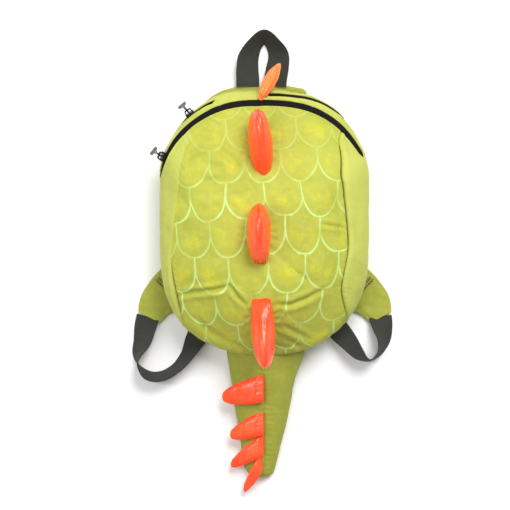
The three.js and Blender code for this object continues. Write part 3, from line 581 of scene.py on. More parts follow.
def webbingMaterial(name):
    look = webbingLook
    material, tree, shader = newMaterial(name)
    place, uv = clothPlaces(tree)
    across, along, _ = splitVector(tree, uv)
    rib = maths(tree, "ABSOLUTE", maths(tree, "SINE", times(tree, across, look["ribs"] * math.pi)))
    pick = plus(tree, times(tree, along, look["picks"] * math.pi), times(tree, rib, 1.6))
    height = plus(tree, rib, times(tree, maths(tree, "SINE", pick), 0.3))
    worn = times(tree, noiseField(tree, place, 90, 4, 0.7), 0.55)
    share = times(tree, plus(tree, times(tree, height, 0.5), worn), 0.8)
    woven = mixColour(tree, share, look["colour"], look["threadColour"])
    tree.links.new(woven, shader.inputs["Base Color"])
    setSockets(shader, look, "rough", "sheen", "shine")
    tree.links.new(bumpFrom(tree, height, 0.6, 0.0003), shader.inputs["Normal"])
    return material


tapeLook = {
    "colour": (0.004, 0.003, 0.0035), "threadColour": (0.010, 0.009, 0.0095), "rough": 0.8, "shine": 0.12,
    "threads": 1300,
}


def tapeMaterial(name):
    look = tapeLook
    material, tree, shader = newMaterial(name)
    place, uv = clothPlaces(tree)
    weave = weaveHeight(tree, uv, look["threads"])
    share = times(tree, plus(tree, weave, noiseField(tree, place, 220, 3, 0.6)), 0.5)
    woven = mixColour(tree, share, look["colour"], look["threadColour"])
    tree.links.new(woven, shader.inputs["Base Color"])
    setSockets(shader, look, "rough", "shine")
    tree.links.new(bumpFrom(tree, weave, 0.4, 0.00015), shader.inputs["Normal"])
    return material


def threadMaterial(name, colour, darkColour):
    material, tree, shader = newMaterial(name)
    place = addNode(tree, "ShaderNodeTexCoord").outputs["Object"]
    fibre = noiseField(tree, place, 700, 2)
    tree.links.new(mixColour(tree, fibre, colour, darkColour), shader.inputs["Base Color"])
    shader.inputs["Roughness"].default_value = 0.6
    tree.links.new(bumpFrom(tree, noiseField(tree, place, 2600, 2), 0.5, 0.0001), shader.inputs["Normal"])
    return material


def metalMaterial(name, colour, wornColour, rough, metallic):
    material, tree, shader = newMaterial(name)
    place = addNode(tree, "ShaderNodeTexCoord").outputs["Object"]
    scuffs = ramp(tree, noiseField(tree, place, 420, 5, 0.7), 0.5, 0.74)
    tree.links.new(mixColour(tree, scuffs, colour, wornColour), shader.inputs["Base Color"])
    tree.links.new(plus(tree, times(tree, scuffs, 0.2), rough), shader.inputs["Roughness"])
    shader.inputs["Metallic"].default_value = metallic
    tree.links.new(bumpFrom(tree, noiseField(tree, place, 900, 3), 0.2, 0.0001), shader.inputs["Normal"])
    return material


printedCloth = clothMaterial("PrintedCloth", printed=True)
plainCloth = clothMaterial("PlainCloth", pale=0.7)
backCloth = clothMaterial("BackCloth", tint=0.8)
strapCloth = clothMaterial("StrapCloth", tint=0.84)
# painted shade: the tail's cloth is tinted darker to stand for the shade on the tail's surface, which
# slopes away from the light
tailClothPaintedShade = clothMaterial("TailClothPaintedShade", tint=0.76)
spikeSatin = satinMaterial("SpikeSatin", satinLook["colour"], satinLook["lightColour"])
topSpikeSatin = satinMaterial("TopSpikeSatin", satinLook["topColour"], satinLook["topLightColour"])
webbingWeave = webbingMaterial("WebbingWeave")
zipTape = tapeMaterial("ZipTape")
clothThread = threadMaterial("ClothThread", (0.56, 0.60, 0.12), (0.40, 0.43, 0.07))
orangeThread = threadMaterial("OrangeThread", (0.75, 0.05, 0.015), (0.5, 0.03, 0.01))
darkThread = threadMaterial("DarkThread", (0.05, 0.05, 0.035), (0.02, 0.02, 0.015))
blackMetal = metalMaterial("BlackMetal", (0.012, 0.012, 0.014), (0.06, 0.06, 0.06), 0.32, 0.6)
silverMetal = metalMaterial("SilverMetal", (0.36, 0.36, 0.33), (0.55, 0.55, 0.52), 0.28, 0.9)
print("materials made")


# stitches
stitching = {"length": 2.5, "spacing": 3.6, "thick": 0.28, "sunk": 0.05}
threadRuns = {}


def stitchLine(group, line, normals, length=None, spacing=None, thick=None):
    # collects short thread loops that follow a line over the cloth; they are made at the end
    line, normals = np.asarray(line, float), np.asarray(normals, float)
    far = distancesAlong(line)
    length, spacing = length or stitching["length"], spacing or stitching["spacing"]
    thick = thick or stitching["thick"]
    count = int((far[-1] - length) // spacing)
    for n in range(max(count, 0) + 1):
        at = np.linspace(n * spacing, n * spacing + length, 5)
        if at[-1] > far[-1]:
            break
        middle = np.stack([np.interp(at, far, line[:, k]) for k in range(3)], axis=-1)
        up = unitRows(np.stack([np.interp(at, far, normals[:, k]) for k in range(3)], axis=-1))
        bow = np.sin(np.linspace(0, np.pi, 5))[:, None]
        middle = middle + up * (bow * thick * 1.1 - stitching["sunk"])
        ahead = np.gradient(middle, axis=0)
        side = unitRows(np.cross(ahead, up))
        angles = roundTurns(6)
        slim = (0.45 + 0.55 * bow) * thick
        rings = middle[:, None] + slim[:, None] * (
            side[:, None] * np.cos(angles)[None, :, None] + up[:, None] * np.sin(angles)[None, :, None])
        threadRuns.setdefault(group, []).append(closedLoft(rings))


def makeStitches(group, material):
    points, faces, start = [], [], 0
    for somePoints, someFaces in threadRuns.get(group, []):
        points.append(somePoints)
        faces += [[i + start for i in face] for face in someFaces]
        start += len(somePoints)
    if points:
        makePiece(group, np.concatenate(points), faces, material, sharpAngle=180)


# zips; places on the bag are shares of the way from the back seam to the front seam
zips = {
    "frontTop": 0.855, "frontEnd": 0.5, "frontStart": 13, "frontStop": 178, "frontWidth": 9,
    "rearTop": 0.615, "rearEnd": 0.45, "rearStart": 41, "rearStop": 142, "rearWidth": 7,
    "under": 2.2,  # how far the tape reaches under the cloth on each side
    "coilPitch": 1.5, "coilHeight": 0.55, "coilWidth": 2.1, "lip": 0.9,
    "tapeWall": 0.8, "tapeSunk": 0.9,
    "coverStart": 86, "coverStop": 119, "coverLift": 1.5,  # where loose cloth lies over the rear zip
}
# where the printed panel is sewn to the plain gusset: turn, place, depth of the crease
panelSeam = np.array([
    [11, 1.105, 2.9], [19, 1.06, 2.8], [27, 1.015, 2.4], [33, 0.975, 1.0], [38, 0.80, 0.4],
    [136, 0.80, 0.4], [141, 0.92, 0.15], [152, 1.005, 0.1], [166, 1.04, 0.1], [182, 1.03, 0.1],
    [190, 0.98, 0.1], [198, 0.925, 0.1], [206, 0.905, 0.5], [216, 0.895, 2.6], [223, 0.89, 2.7],
    [231, 0.845, 2.5],
    [238, 0.75, 1.4], [248, 0.555, 0.8], [262, 0.45, 0.6], [328, 0.45, 0.6], [340, 0.555, 0.8],
    [344, 0.755, 1.6], [351, 0.95, 2.6], [358, 1.045, 2.5], [367, 1.06, 1.4], [377, 1.035, 1.8],
    [381, 1.015, 2.6], [387, 1.035, 2.8], [394, 1.065, 2.9], [399, 1.085, 2.9],
])


def acrossSize(turn, across):
    # millimetres over the bag for one unit of across
    return np.linalg.norm(bagPoint(turn, across + 0.05) - bagPoint(turn, across - 0.05), axis=-1) / 0.1


def fromTop(turn):
    half = wholeTurn / 2
    return np.abs(np.mod(turn - bag["archTurn"] / 2 + half, wholeTurn) - half)


def openShare(turn, start, stop, ease=5):
    turn = np.where(turn > wholeTurn - 60, turn - wholeTurn, turn)
    return smoothStep(turn, start, start + ease) * (1 - smoothStep(turn, stop - ease, stop))


def gussetLines(turn):
    # the edges of the two zips and the seam of the front panel, all round the bag
    arch = np.clip(turn, 0, bag["archTurn"])
    arch = np.where(turn > bag["archTurn"] + 110, 0, arch)
    bow = np.maximum(0, np.sin(np.radians(arch))) ** 0.45
    front = zips["frontEnd"] + (zips["frontTop"] - zips["frontEnd"]) * bow
    share = np.clip((arch - zips["rearStart"]) / (zips["rearStop"] - zips["rearStart"]), 0, 1)
    rear = zips["rearEnd"] + (zips["rearTop"] - zips["rearEnd"]) * np.sin(np.pi * share) ** 0.6
    table = panelSeam
    table = np.vstack([table[-4:] - [wholeTurn, 0, 0], table, table[:4] + [wholeTurn, 0, 0]])
    seam = smoothed(turn, table[:, 0], table[:, 1], 1.5)
    crease = smoothed(turn, table[:, 0], table[:, 2], 2)
    spread = smoothStep(fromTop(turn), 84, 125)
    front = front * (1 - spread) + np.minimum(0.6, 0.66 * seam) * spread
    rear = rear * (1 - spread) + np.minimum(0.32, 0.36 * seam) * spread
    frontOpen = openShare(turn, zips["frontStart"], zips["frontStop"])
    rearOpen = openShare(turn, zips["rearStart"], zips["rearStop"])
    frontHalf = zips["frontWidth"] / 2 * frontOpen / acrossSize(turn, front)
    rearHalf = zips["rearWidth"] / 2 * rearOpen / acrossSize(turn, rear)
    atZip = openShare(turn, 34, 140, 4)
    seam = np.maximum(seam, front + frontHalf)
    seam = seam * (1 - atZip) + (front + frontHalf) * atZip
    return {"rearLow": rear - rearHalf, "rearHigh": rear + rearHalf, "rearOpen": rearOpen, "seam": seam,
            "frontLow": front - frontHalf, "frontHigh": front + frontHalf, "frontOpen": frontOpen,
            "crease": crease, "atZip": atZip}


# spikes on the front panel: x is a share of the body's width, y of its top or its bottom;
# slit is the end where the ridge seam opens, foot the end that is sewn down flat, its width
# and how far up it reaches
bodySpikes = {
    "SpikeFront1": {
        "x": -0.017, "y": 0.54, "tilt": 0.12, "lean": 0.15, "length": 1.1,
        "slit": 1, "foot": None,
    },
    "SpikeFront2": {
        "x": -0.021, "y": -0.105, "tilt": 0.03, "lean": 0.2, "length": 0.98,
        "slit": 1, "foot": (-1, 14, 0.5),
    },
    "SpikeFront3": {
        "x": 0.006, "y": -0.737, "tilt": 0.06, "lean": -0.35, "length": 1.24,
        "slit": -1, "foot": (1, 20, 0.7),
    },
}
spikeSize = {"length": 62, "thick": 25, "height": 42}


def spikeSpot(spot):
    return np.array([spot["x"] * bag["width"], spot["y"] * bag["top" if spot["y"] > 0 else "bottom"]])


cloth = {
    "columns": 520, "rows": 132, "wall": 1.5, "puff": 1.2, "soft": 0.55, "crinkle": 0.9, "seamWidth": 1.5,
    "hem": 3.2, "printTurn": 2.5, "seamGap": 0.002, "nearCrown": 1.986,
    "panelFullness": (0.5, 4.5, 2.6), "gussetFullness": (0.7, 5, 3),  # height, place, width
    "wrapAt": 0.115, "shortRun": 6,  # a run of fewer stitches than this is left out
    "inside": (0, 0, 45),  # a place inside the bag that the cloth faces away from
    "drawnIn": [16, 36], "spikeGathers": 13,  # round a spike its seam draws the cloth in
    "foldsFrom": (20, 44),  # the folds grow in between these heights
    "folds": [  # line, width, depth, lip
        [[(-80, 64), (-68, 70), (-57, 73)], 3.4, 2.4, 1.2],
        [[(-50, 76), (-33, 62), (-22, 50)], 4.0, 2.4, 1.2],
        [[(-68, 40), (-54, 38), (-38, 43)], 3.6, 2.0, 1.0],
        [[(-64, 58), (-46, 52), (-30, 54)], 3.4, 1.8, 0.9],
        [[(60, -6), (74, -8), (87, -11)], 1.7, 1.8, 1.2],
        [[(70, 31), (76, 17), (82, 4)], 2.2, 1.3, 0.7],
        [[(83, 23), (92, 23)], 1.6, 1.0, 0.6],
        [[(-34, -70), (-27, -80), (-18, -90)], 2.0, 2.4, 1.6],
        [[(-88, -80), (-74, -77), (-49, -74), (-36, -70)], 2.2, 2.0, 1.6],
        [[(12, -90), (30, -89), (47, -82), (66, -72)], 2.4, 2.0, 1.5],
        [[(20, -110), (30, -116), (49, -126)], 2.4, 1.7, 1.0],
        [[(17, -122), (31, -128), (42, -138)], 2.2, 1.4, 0.8],
        [[(-34, -128), (-20, -136), (-12, -144)], 2.4, 1.5, 0.9],
        [[(-70, -104), (-53, -120), (-38, -128)], 2.8, 1.6, 0.9],
        [[(16, -38), (34, -56), (48, -66)], 3.0, 1.0, 0.6],
        [[(-10, 30), (-24, 24), (-44, 22)], 3.0, 0.9, 0.5],
        [[(24, 44), (44, 36), (66, 38)], 3.4, 0.8, 0.5],
    ],
}


def clothLift(points, fromEdge):
    # how far the cloth stands off the smooth body, before its seams
    look = cloth
    lift = look["puff"] * softNoise(points, 46, 3) + look["soft"] * softNoise(points, 17, 8)
    slanted = points @ np.array([[0.8, 0.6, 0], [-0.6, 0.8, 0], [0, 0, 1]])
    patches = 0.3 + 0.7 * smoothStep(softNoise(points, 40, 5), -0.3, 0.5)
    lift -= look["crinkle"] * crinkle(slanted, (34, 15, 30), 21) * patches
    lift -= 0.5 * look["crinkle"] * crinkle(points, (12, 26, 22), 27) * (1.3 - patches)
    return lift * smoothStep(fromEdge, -1, 7)


def puckers(points, fromEdge, tall, reach):
    # small gathers that the thread draws into the cloth beside a seam
    along = points @ np.array([1, 1.3, 1])
    beat = np.sin(along * 0.75 + 3 * softNoise(points, 14, 2))
    return tall * beat * valley(fromEdge - reach * 0.6, reach)


def hemLift(fromEdge, tall):
    # a turned edge beside a zip: it drops to the tape, rises, and is held down by a row of stitches
    rolled = -1.1 * valley(fromEdge, 0.55)
    fullness = tall * valley(fromEdge - 1.5, 1.2)
    return rolled + fullness - 0.45 * valley(fromEdge - cloth["hem"], 0.7)


def seamLift(points, lines, fromSeam, fullness):
    # the cloth dips into the panel's seam, gathers beside it and rises again: height, place, width
    tall, place, width = fullness
    lift = puckers(points, fromSeam, 0.2, 6) - lines["crease"] * valley(fromSeam, cloth["seamWidth"])
    lift = lift + tall * valley(fromSeam - place, width) * np.clip(lines["crease"], 0, 1)
    return lift * (1 - lines["atZip"])


def seamGap(lines):
    return cloth["seamGap"] * np.clip(lines["crease"] - 0.2, 0, 1)


def panelTurns():
    return np.arange(cloth["columns"]) / cloth["columns"] * wholeTurn


def hemStitches(outer, normals, fromEdge, wanted):
    # stitches in the row of the grid that is nearest to the hem, in the wanted columns
    pick = [(int(np.abs(fromEdge[:, c] - cloth["hem"]).argmin()), c) for c in wanted]
    stitchLine("ZipStitches", [outer[r, c] for r, c in pick], [normals[r, c] for r, c in pick])


def makeFrontPanel():
    look = cloth
    turns = panelTurns()
    lines = gussetLines(turns)
    share = np.linspace(0, 1, look["rows"] + 1)[:-1, None] ** 1.25
    across = lines["seam"] + seamGap(lines) + (look["nearCrown"] - lines["seam"]) * share
    smooth = softPoint(np.broadcast_to(turns, across.shape), across)
    steps = np.linalg.norm(np.diff(smooth, axis=0), axis=-1)
    fromSeam = np.cumsum(np.vstack([0 * steps[:1], steps]), axis=0)
    normals = -surfaceNormals(smooth, True)
    normals *= np.sign(normals[..., 2:].sum())
    lift = clothLift(smooth, fromSeam)
    lift += foldDepth(smooth, look["folds"]) * smoothStep(smooth[..., 2], *look["foldsFrom"])
    lift += seamLift(smooth, lines, fromSeam, look["panelFullness"])
    lift += hemLift(fromSeam, zips["lip"]) * lines["atZip"]
    for spot in bodySpikes.values():  # the cloth is drawn in round each spike's seam
        away = smooth[..., :2] - spikeSpot(spot)
        angle = np.arctan2(away[..., 1], away[..., 0])
        ring = np.hypot(*np.moveaxis(away / look["drawnIn"], -1, 0))
        gathers = np.sin(angle * look["spikeGathers"] + 3 * softNoise(smooth, 30, 4))
        lift -= valley(ring - 0.9, 0.4) * (1.1 + 0.55 * gathers)
    outer = smooth + normals * lift[..., None]
    # the print is laid out on the flat cloth, so its places are measured over the dome
    crown = smooth[-1].mean(0)[:2]
    toward = unitRows(smooth[20, :, :2] - crown)
    spread = (fromSeam[-1:] - fromSeam)[..., None] * toward
    lean = math.radians(-look["printTurn"])
    turned = [[math.cos(lean), math.sin(lean)], [-math.sin(lean), math.cos(lean)]]
    flat = spread @ np.array(turned) + crown
    points = np.concatenate([outer.reshape(-1, 3), [outer[-1].mean(0)]])
    rows, columns = outer.shape[:2]
    faces = gridFaces(rows, columns, wrapColumns=True)
    last = (rows - 1) * columns
    faces += [[last + c, last + (c + 1) % columns, len(points) - 1] for c in range(columns)]
    uv = np.vstack([smooth[..., :2].reshape(-1, 2), [crown]])
    printUv = np.vstack([flat.reshape(-1, 2), [crown]])
    makePiece("FrontPanel", points, faces, printedCloth, uv=uv, printUv=printUv,
              replaced=["front_panel"], wall=look["wall"])
    hemStitches(outer, normals, fromSeam, np.flatnonzero(lines["atZip"] > 0.9))


def makeGusset():
    look = cloth
    count, turns = look["columns"], panelTurns()
    lines = gussetLines(turns)
    cover = openShare(turns, zips["coverStart"], zips["coverStop"], 6)
    middleStart = lines["rearHigh"] - cover * (lines["rearHigh"] - lines["rearLow"]) * 1.12
    rearOpen, frontOpen, shut = lines["rearOpen"], lines["frontOpen"], 0 * turns
    strips = [  # low edge, high edge, rows, how open the zip is at each edge, how tall the hem is there
        (0.003 + shut, lines["rearLow"], 20, shut, 0, rearOpen, 0.6),
        (middleStart, lines["frontLow"], 18, rearOpen, 0.5, frontOpen, 0.7),
        (lines["frontHigh"], lines["seam"] - seamGap(lines), 16, frontOpen, 0.7, shut, 0),
    ]
    points, faces, uvs, rowCount = [], [], [], 0
    along = distancesAlong(softPoint(turns, np.full(count, 0.5)))
    for n, (low, high, rows, lowOpen, lowTall, highOpen, highTall) in enumerate(strips):
        share = np.linspace(0, 1, rows)[:, None]  # made finer at both edges
        share = 0.5 - 0.5 * np.cos(np.pi * share) * (0.6 + 0.4 * np.abs(1 - 2 * share))
        across = low + (high - low) * share
        t = np.broadcast_to(turns, across.shape)
        smooth = softPoint(t, across)
        size = acrossSize(turns, (low + high) / 2)
        fromLow, fromHigh = (across - low) * size, (high - across) * size
        normal = bagNormal(t, across)
        if n < 2:  # the strips beside the rear zip follow their own grid, where it isn't pinched
            own = -surfaceNormals(smooth, True)
            normal = np.where(np.linalg.norm(own, axis=-1, keepdims=True) < 0.5, normal, own)
            facing = np.sign(((smooth - look["inside"]) * normal).sum(-1, keepdims=True))
            normal = normal * np.where(facing == 0, 1, facing)
        seamNear, rearNear = (lines["seam"] - across) * size, across * size
        lift = clothLift(smooth, np.minimum(seamNear, rearNear))
        lift += puckers(smooth, rearNear, 0.35, 7) - 0.9 * valley(rearNear, 2.6)
        lift += seamLift(smooth, lines, seamNear, look["gussetFullness"])
        lift += hemLift(fromLow, lowTall) * lowOpen + hemLift(fromHigh, highTall) * highOpen
        if n == 1:
            lift += cover * zips["coverLift"] * valley(fromLow, 7)
        outer = smooth + normal * lift[..., None]
        points.append(outer.reshape(-1, 3))
        uvs.append(pairUp(along, across * size).reshape(-1, 2))
        wide = (high - low) * size
        for face in gridFaces(rows, count, wrapColumns=True):
            c = face[0] % count
            if n < 2 or min(wide[c], wide[(c + 1) % count]) > 0.5:
                faces.append([i + rowCount * count for i in face])
        covered = cover > 0 if n == 1 else cover < 0
        for edge, opened in ((fromLow, (lowOpen > 0.95) & ~covered), (fromHigh, highOpen > 0.95)):
            wanted = np.flatnonzero(opened & (wide > 3 * look["hem"]))
            wrap = count * look["wrapAt"]  # one run of stitches starts past the first column
            for run in (wanted[wanted < wrap], wanted[wanted >= wrap]):
                if len(run) > look["shortRun"]:
                    hemStitches(outer, normal, edge, run)
        rowCount += rows
    # where a zip is shut, the cloth runs on over it
    before = 0
    for n, opened in ((0, rearOpen), (1, frontOpen)):
        before += strips[n][2]
        low, high = (before - 1) * count, before * count
        for c in range(count):
            d = (c + 1) % count
            if opened[c] == 0 and opened[d] == 0:
                faces.append([low + c, low + d, high + d, high + c])
    makePiece("Gusset", np.concatenate(points), faces, plainCloth, uv=np.concatenate(uvs),
              wall=look["wall"],
              replaced=["gusset_rear", "gusset_middle", "gusset_front", "gusset_base"])


def makeZip(name, node, start, stop, low, high):
    # tape with a raised coil down its middle; its edges run under the cloth
    turns = np.linspace(start, stop, 400)
    lines = gussetLines(turns)
    low, high = lines[low], lines[high]
    far = distancesAlong(bagPoint(turns, (low + high) / 2))
    along = np.linspace(0, far[-1], int(far[-1] / zips["coilPitch"] * 5))
    fine, lowFine, highFine = (np.interp(along, far, v) for v in (turns, low, high))
    share = np.array([0, 0.12, 0.28, 0.38, 0.43, 0.5, 0.57, 0.62, 0.72, 0.88, 1.0])[:, None]
    size = acrossSize(fine, (lowFine + highFine) / 2)
    lowFine, highFine = lowFine - zips["under"] / size, highFine + zips["under"] / size
    across = lowFine + (highFine - lowFine) * share
    smooth, normals = bagPoint(fine, across), bagNormal(fine, across)
    fromMiddle = (share - 0.5) * ((highFine - lowFine) * size)
    hump = valley(fromMiddle, zips["coilWidth"], 4)
    tooth = 0.5 + 0.5 * np.sin(2 * np.pi * along / zips["coilPitch"] + 1.4 * np.sign(fromMiddle))
    edge = np.minimum(share, 1 - share) * (highFine - lowFine) * size
    coil = hump * zips["coilHeight"] * (0.55 + 0.75 * tooth)
    tucked = 1.2 * (1 - smoothStep(edge, 0, zips["under"] * 1.3))
    outer = smooth + normals * (coil - tucked - zips["tapeSunk"])[..., None]
    clothShell(name, outer, normals, zips["tapeWall"], zipTape, [node],
               uv=pairUp(along, fromMiddle))


makeFrontPanel()
print("front panel made")
makeGusset()
makeZip("ZipFront", "zip_front", zips["frontStart"], zips["frontStop"], "frontLow", "frontHigh")
makeZip("ZipRear", "zip_rear", zips["rearStart"], zips["rearStop"], "rearLow", "rearHigh")
print("gusset and zips made")

backPanel = {"turns": 260, "rows": 46, "soft": 0.35, "wall": 1.6}


def makeBackPanel():
    look = backPanel
    turns = np.arange(look["turns"]) / look["turns"] * wholeTurn
    across = -0.003 - 0.985 * np.linspace(0, 1, look["rows"] + 1)[:-1] ** 1.15
    t, a = np.meshgrid(turns, across)
    smooth, normals = bagPoint(t, a), bagNormal(t, a)
    sunk = look["soft"] * np.minimum(softNoise(smooth, 30, 41) - 0.6, 0)  # it never stands out
    outer = smooth + normals * (sunk * smoothStep(smooth[..., 2], 0.2, 3))[..., None]
    clothShell("BackPanel", outer, normals, look["wall"], backCloth, ["back_panel"],
               wrap=True, uv=smooth[..., :2], closeAt=outer[-1].mean(0))


makeBackPanel()

# stuffed spikes
finProfile = [  # up, length, thick, lean
    [0.0, 1.0, 0.80, 0.0], [0.09, 1.0, 0.93, 0.01], [0.2, 0.97, 1.0, 0.02], [0.42, 0.88, 0.95, 0.06],
    [0.62, 0.74, 0.78, 0.12], [0.8, 0.57, 0.58, 0.19], [0.92, 0.42, 0.38, 0.24], [0.98, 0.25, 0.2, 0.27],
    [1.0, 0.06, 0.06, 0.28],
]
leafProfile = [
    [0.0, 0.8, 0.52, 0.0], [0.15, 0.97, 0.78, 0.0], [0.36, 1.0, 1.0, 0.0], [0.6, 0.84, 0.96, 0.0],
    [0.8, 0.58, 0.7, 0.0], [0.93, 0.34, 0.42, 0.0], [1.0, 0.08, 0.09, 0.0],
]
finLook = {
    "rings": 60, "points": 104, "crowd": 0.38,  # points crowd together at the ridge seam
    "ridge": 0.8, "ridgeWidth": 0.1, "slit": 2.6, "slitWidth": 0.055, "slitLip": 0.8,
    "pucker": 0.45, "soft": 0.5, "rootWidth": 2.5, "rootGathers": 17,
    "sink": 3.0, "fill": 0.8,
    "stitchColumn": 9,  # the stitches run this many points from the ridge
}


def makeFin(name, node, base, along, up, length, thick, height, lean, profile=finProfile,
            material=spikeSatin, seed=0, squareBase=0.95, sink=finLook["sink"],
            foot=None, slit=0):
    look = finLook
    up, forward = unitRows(np.asarray(up, float)), unitRows(np.asarray(along, float))
    sideways = unitRows(np.cross(up, forward))
    rows = throughPoints(np.array(profile)[:, :3], look["rings"])
    leans = throughPoints(np.array([[r[0], r[3], 0] for r in profile]), look["rings"])[:, 1]
    rows = np.vstack([[-sink / height, rows[0, 1] * 0.98, rows[0, 2] * 0.9], rows])
    leans = np.concatenate([[0], leans])
    share = rows[:, :1]  # how far up the spike
    angles = roundTurns(look["points"])
    angles = angles - look["crowd"] * np.sin(2 * angles)
    squared = np.clip(squareBase + (1 - squareBase) * share / 0.5, 0.45, 1.0)
    out = signedPower(np.cos(angles)[None], 0.9 * squared) * (rows[:, 1] * length / 2)[:, None]
    wide = signedPower(np.sin(angles)[None], 0.85 * squared) * (rows[:, 2] * thick / 2)[:, None]
    flat = 0 * wide
    if foot:
        end, footWidth, footTall = foot
        low = 1 - smoothStep(share, footTall * 0.6, footTall)
        flat = smoothStep(np.cos(angles) * end, 0.55, 0.8)[None] * low
        squareEnd = np.sign(np.sin(angles)) * footWidth / 2 * (1 - np.abs(np.cos(angles)) ** 40) ** 0.25
        wide = np.where(np.abs(wide) < np.abs(squareEnd), wide + (squareEnd - wide) * flat, wide)
    centre = base + up * share * height + forward * (leans * lean * length)[:, None]
    rings = centre[:, None] + out[..., None] * forward + wide[..., None] * sideways
    around = np.minimum(np.abs(np.sin(angles / 2)), np.abs(np.cos(angles / 2)))[None] * 2  # 0 at the ridge
    size = np.clip(rows[:, 2] * 1.4, 0.15, 1)[:, None]
    depth = look["ridge"] * valley(around, look["ridgeWidth"]) * (1 - flat)
    depth = depth - 0.5 * valley(around - 0.3, 0.13)
    opened = smoothStep(share, 0.3, 0.6) * (1 - smoothStep(share, 0.99, 1.0)) * (np.cos(angles) * slit > 0)
    depth = depth - look["slit"] * opened * valley(around, look["slitWidth"])
    depth = depth + look["slitLip"] * opened * valley(around - 0.12, 0.06)
    depth = depth + 0.7 * flat * np.sin(wide * 2.6)  # gathers where it is sewn down flat
    beat = np.sin(share * height * 1.9 + seed)
    depth = depth + look["pucker"] * 0.5 * beat * valley(around - 0.35, 0.3)
    depth = depth + look["soft"] * softNoise(rings, (11, 16, 9), 50 + seed)
    depth = depth - 0.5 * crinkle(rings, (9, 22, 12), 60 + seed)
    rootSeam = valley(share * height, look["rootWidth"]) * (
        0.7 + 0.5 * np.sin(angles * look["rootGathers"])[None])
    depth = depth - rootSeam * (1 - flat)  # gathered into its root seam
    direction = unitRows(rings - centre[:, None])
    rings = rings + direction * (depth * size)[..., None]
    points, faces = closedLoft(rings)
    uv = np.vstack([pairUp(angles * thick / 2.5, share * height).reshape(-1, 2), [[0, 0], [0, height]]])
    piece = makePiece(name, points, faces, material, uv=uv, replaced=[node])
    # stitches each side of the ridge seam
    half, beside, sewn = look["points"] // 2, look["stitchColumn"], slice(3, -5)
    for column in (beside, look["points"] - beside, half - beside, half + beside):
        stitchLine("SpikeStitches", rings[sewn, column], direction[sewn, column], length=1.7, spacing=3.0,
                   thick=0.2)


def panelPlace(x, y):
    turns, across = np.meshgrid(np.arange(0, wholeTurn, 2.0), np.arange(1, 2, 0.02), indexing="ij")
    points = bagPoint(turns, across)
    best = np.argmin(np.hypot(points[..., 0] - x, points[..., 1] - y))
    return turns.ravel()[best], across.ravel()[best]


for n, (name, spot) in enumerate(bodySpikes.items()):
    turn, across = panelPlace(*spikeSpot(spot))
    along = (-math.sin(spot["tilt"]), math.cos(spot["tilt"]), 0)
    makeFin(name, f"spike_front_{n + 1}", bagPoint(turn, across), along, bagNormal(turn, across),
            spot["length"] * spikeSize["length"], spikeSize["thick"], spikeSize["height"], spot["lean"],
            seed=n, foot=spot["foot"], slit=spot["slit"])

topSpike = {  # it stands in the middle of the strip between the zips
    "turn": 90.0, "lift": 0.5, "shift": [-1.5, 2.5, 0], "up": (0.52, 0.85, 0.18),
    "height": 38, "thick": 14, "length": 13,
}
middleStrip = gussetLines(np.array([topSpike["turn"]]))
topAcross = float((middleStrip["rearHigh"] + middleStrip["frontLow"])[0] / 2)
topPoint = bagPoint(topSpike["turn"], topAcross)
topBase = topPoint + bagNormal(topSpike["turn"], topAcross) * topSpike["lift"] + topSpike["shift"]
makeFin("SpikeTop", "spike_top", topBase, bagPoint(topSpike["turn"], topAcross + 0.012) - topPoint,
        topSpike["up"], topSpike["length"], topSpike["thick"], topSpike["height"], 0, profile=leafProfile,
        material=topSpikeSatin, seed=5, squareBase=0.9)
print("body spikes made")

# tail
tail = {
    "length": 135, "width": 80, "height": 40, "rootY": -141, "flat": 0.7, "edge": 0.38,
    "rings": 150, "soft": 0.7, "crinkle": 1.2, "seamDepth": 1.1, "fill": 0.65,
    "sections": [  # along, left, right, seam, height
        [-0.14, 0.96, 1.12, 0.0, 1.0], [0.0, 0.97, 1.12, 0.01, 0.97], [0.17, 0.885, 0.93, 0.02, 0.86],
        [0.42, 0.76, 0.73, 0.03, 0.68], [0.57, 0.68, 0.63, 0.03, 0.58], [0.77, 0.58, 0.47, 0.04, 0.46],
        [0.9, 0.53, 0.36, 0.04, 0.39], [0.965, 0.42, 0.29, 0.0, 0.33], [1.0, 0.24, 0.16, -0.02, 0.24],
    ],
    "spikes": [  # along, height, length, swing
        [0.29, 1.0, 1.0, 0.24], [0.575, 0.81, 0.86, 0.37], [0.756, 0.89, 0.78, 0.58],
        [0.914, 0.73, 0.78, 1.0],
    ],
    "spikeHeight": 42, "spikeLength": 28, "spikeThick": 9, "spikeRoot": 6,
    "spikeSlope": 0.62, "spikeRaised": 0.3, "spikeLean": 0.05,
}


def tailColumn(along, column):
    rows = np.array(tail["sections"])
    return np.interp(along, rows[:, 0], rows[:, column])


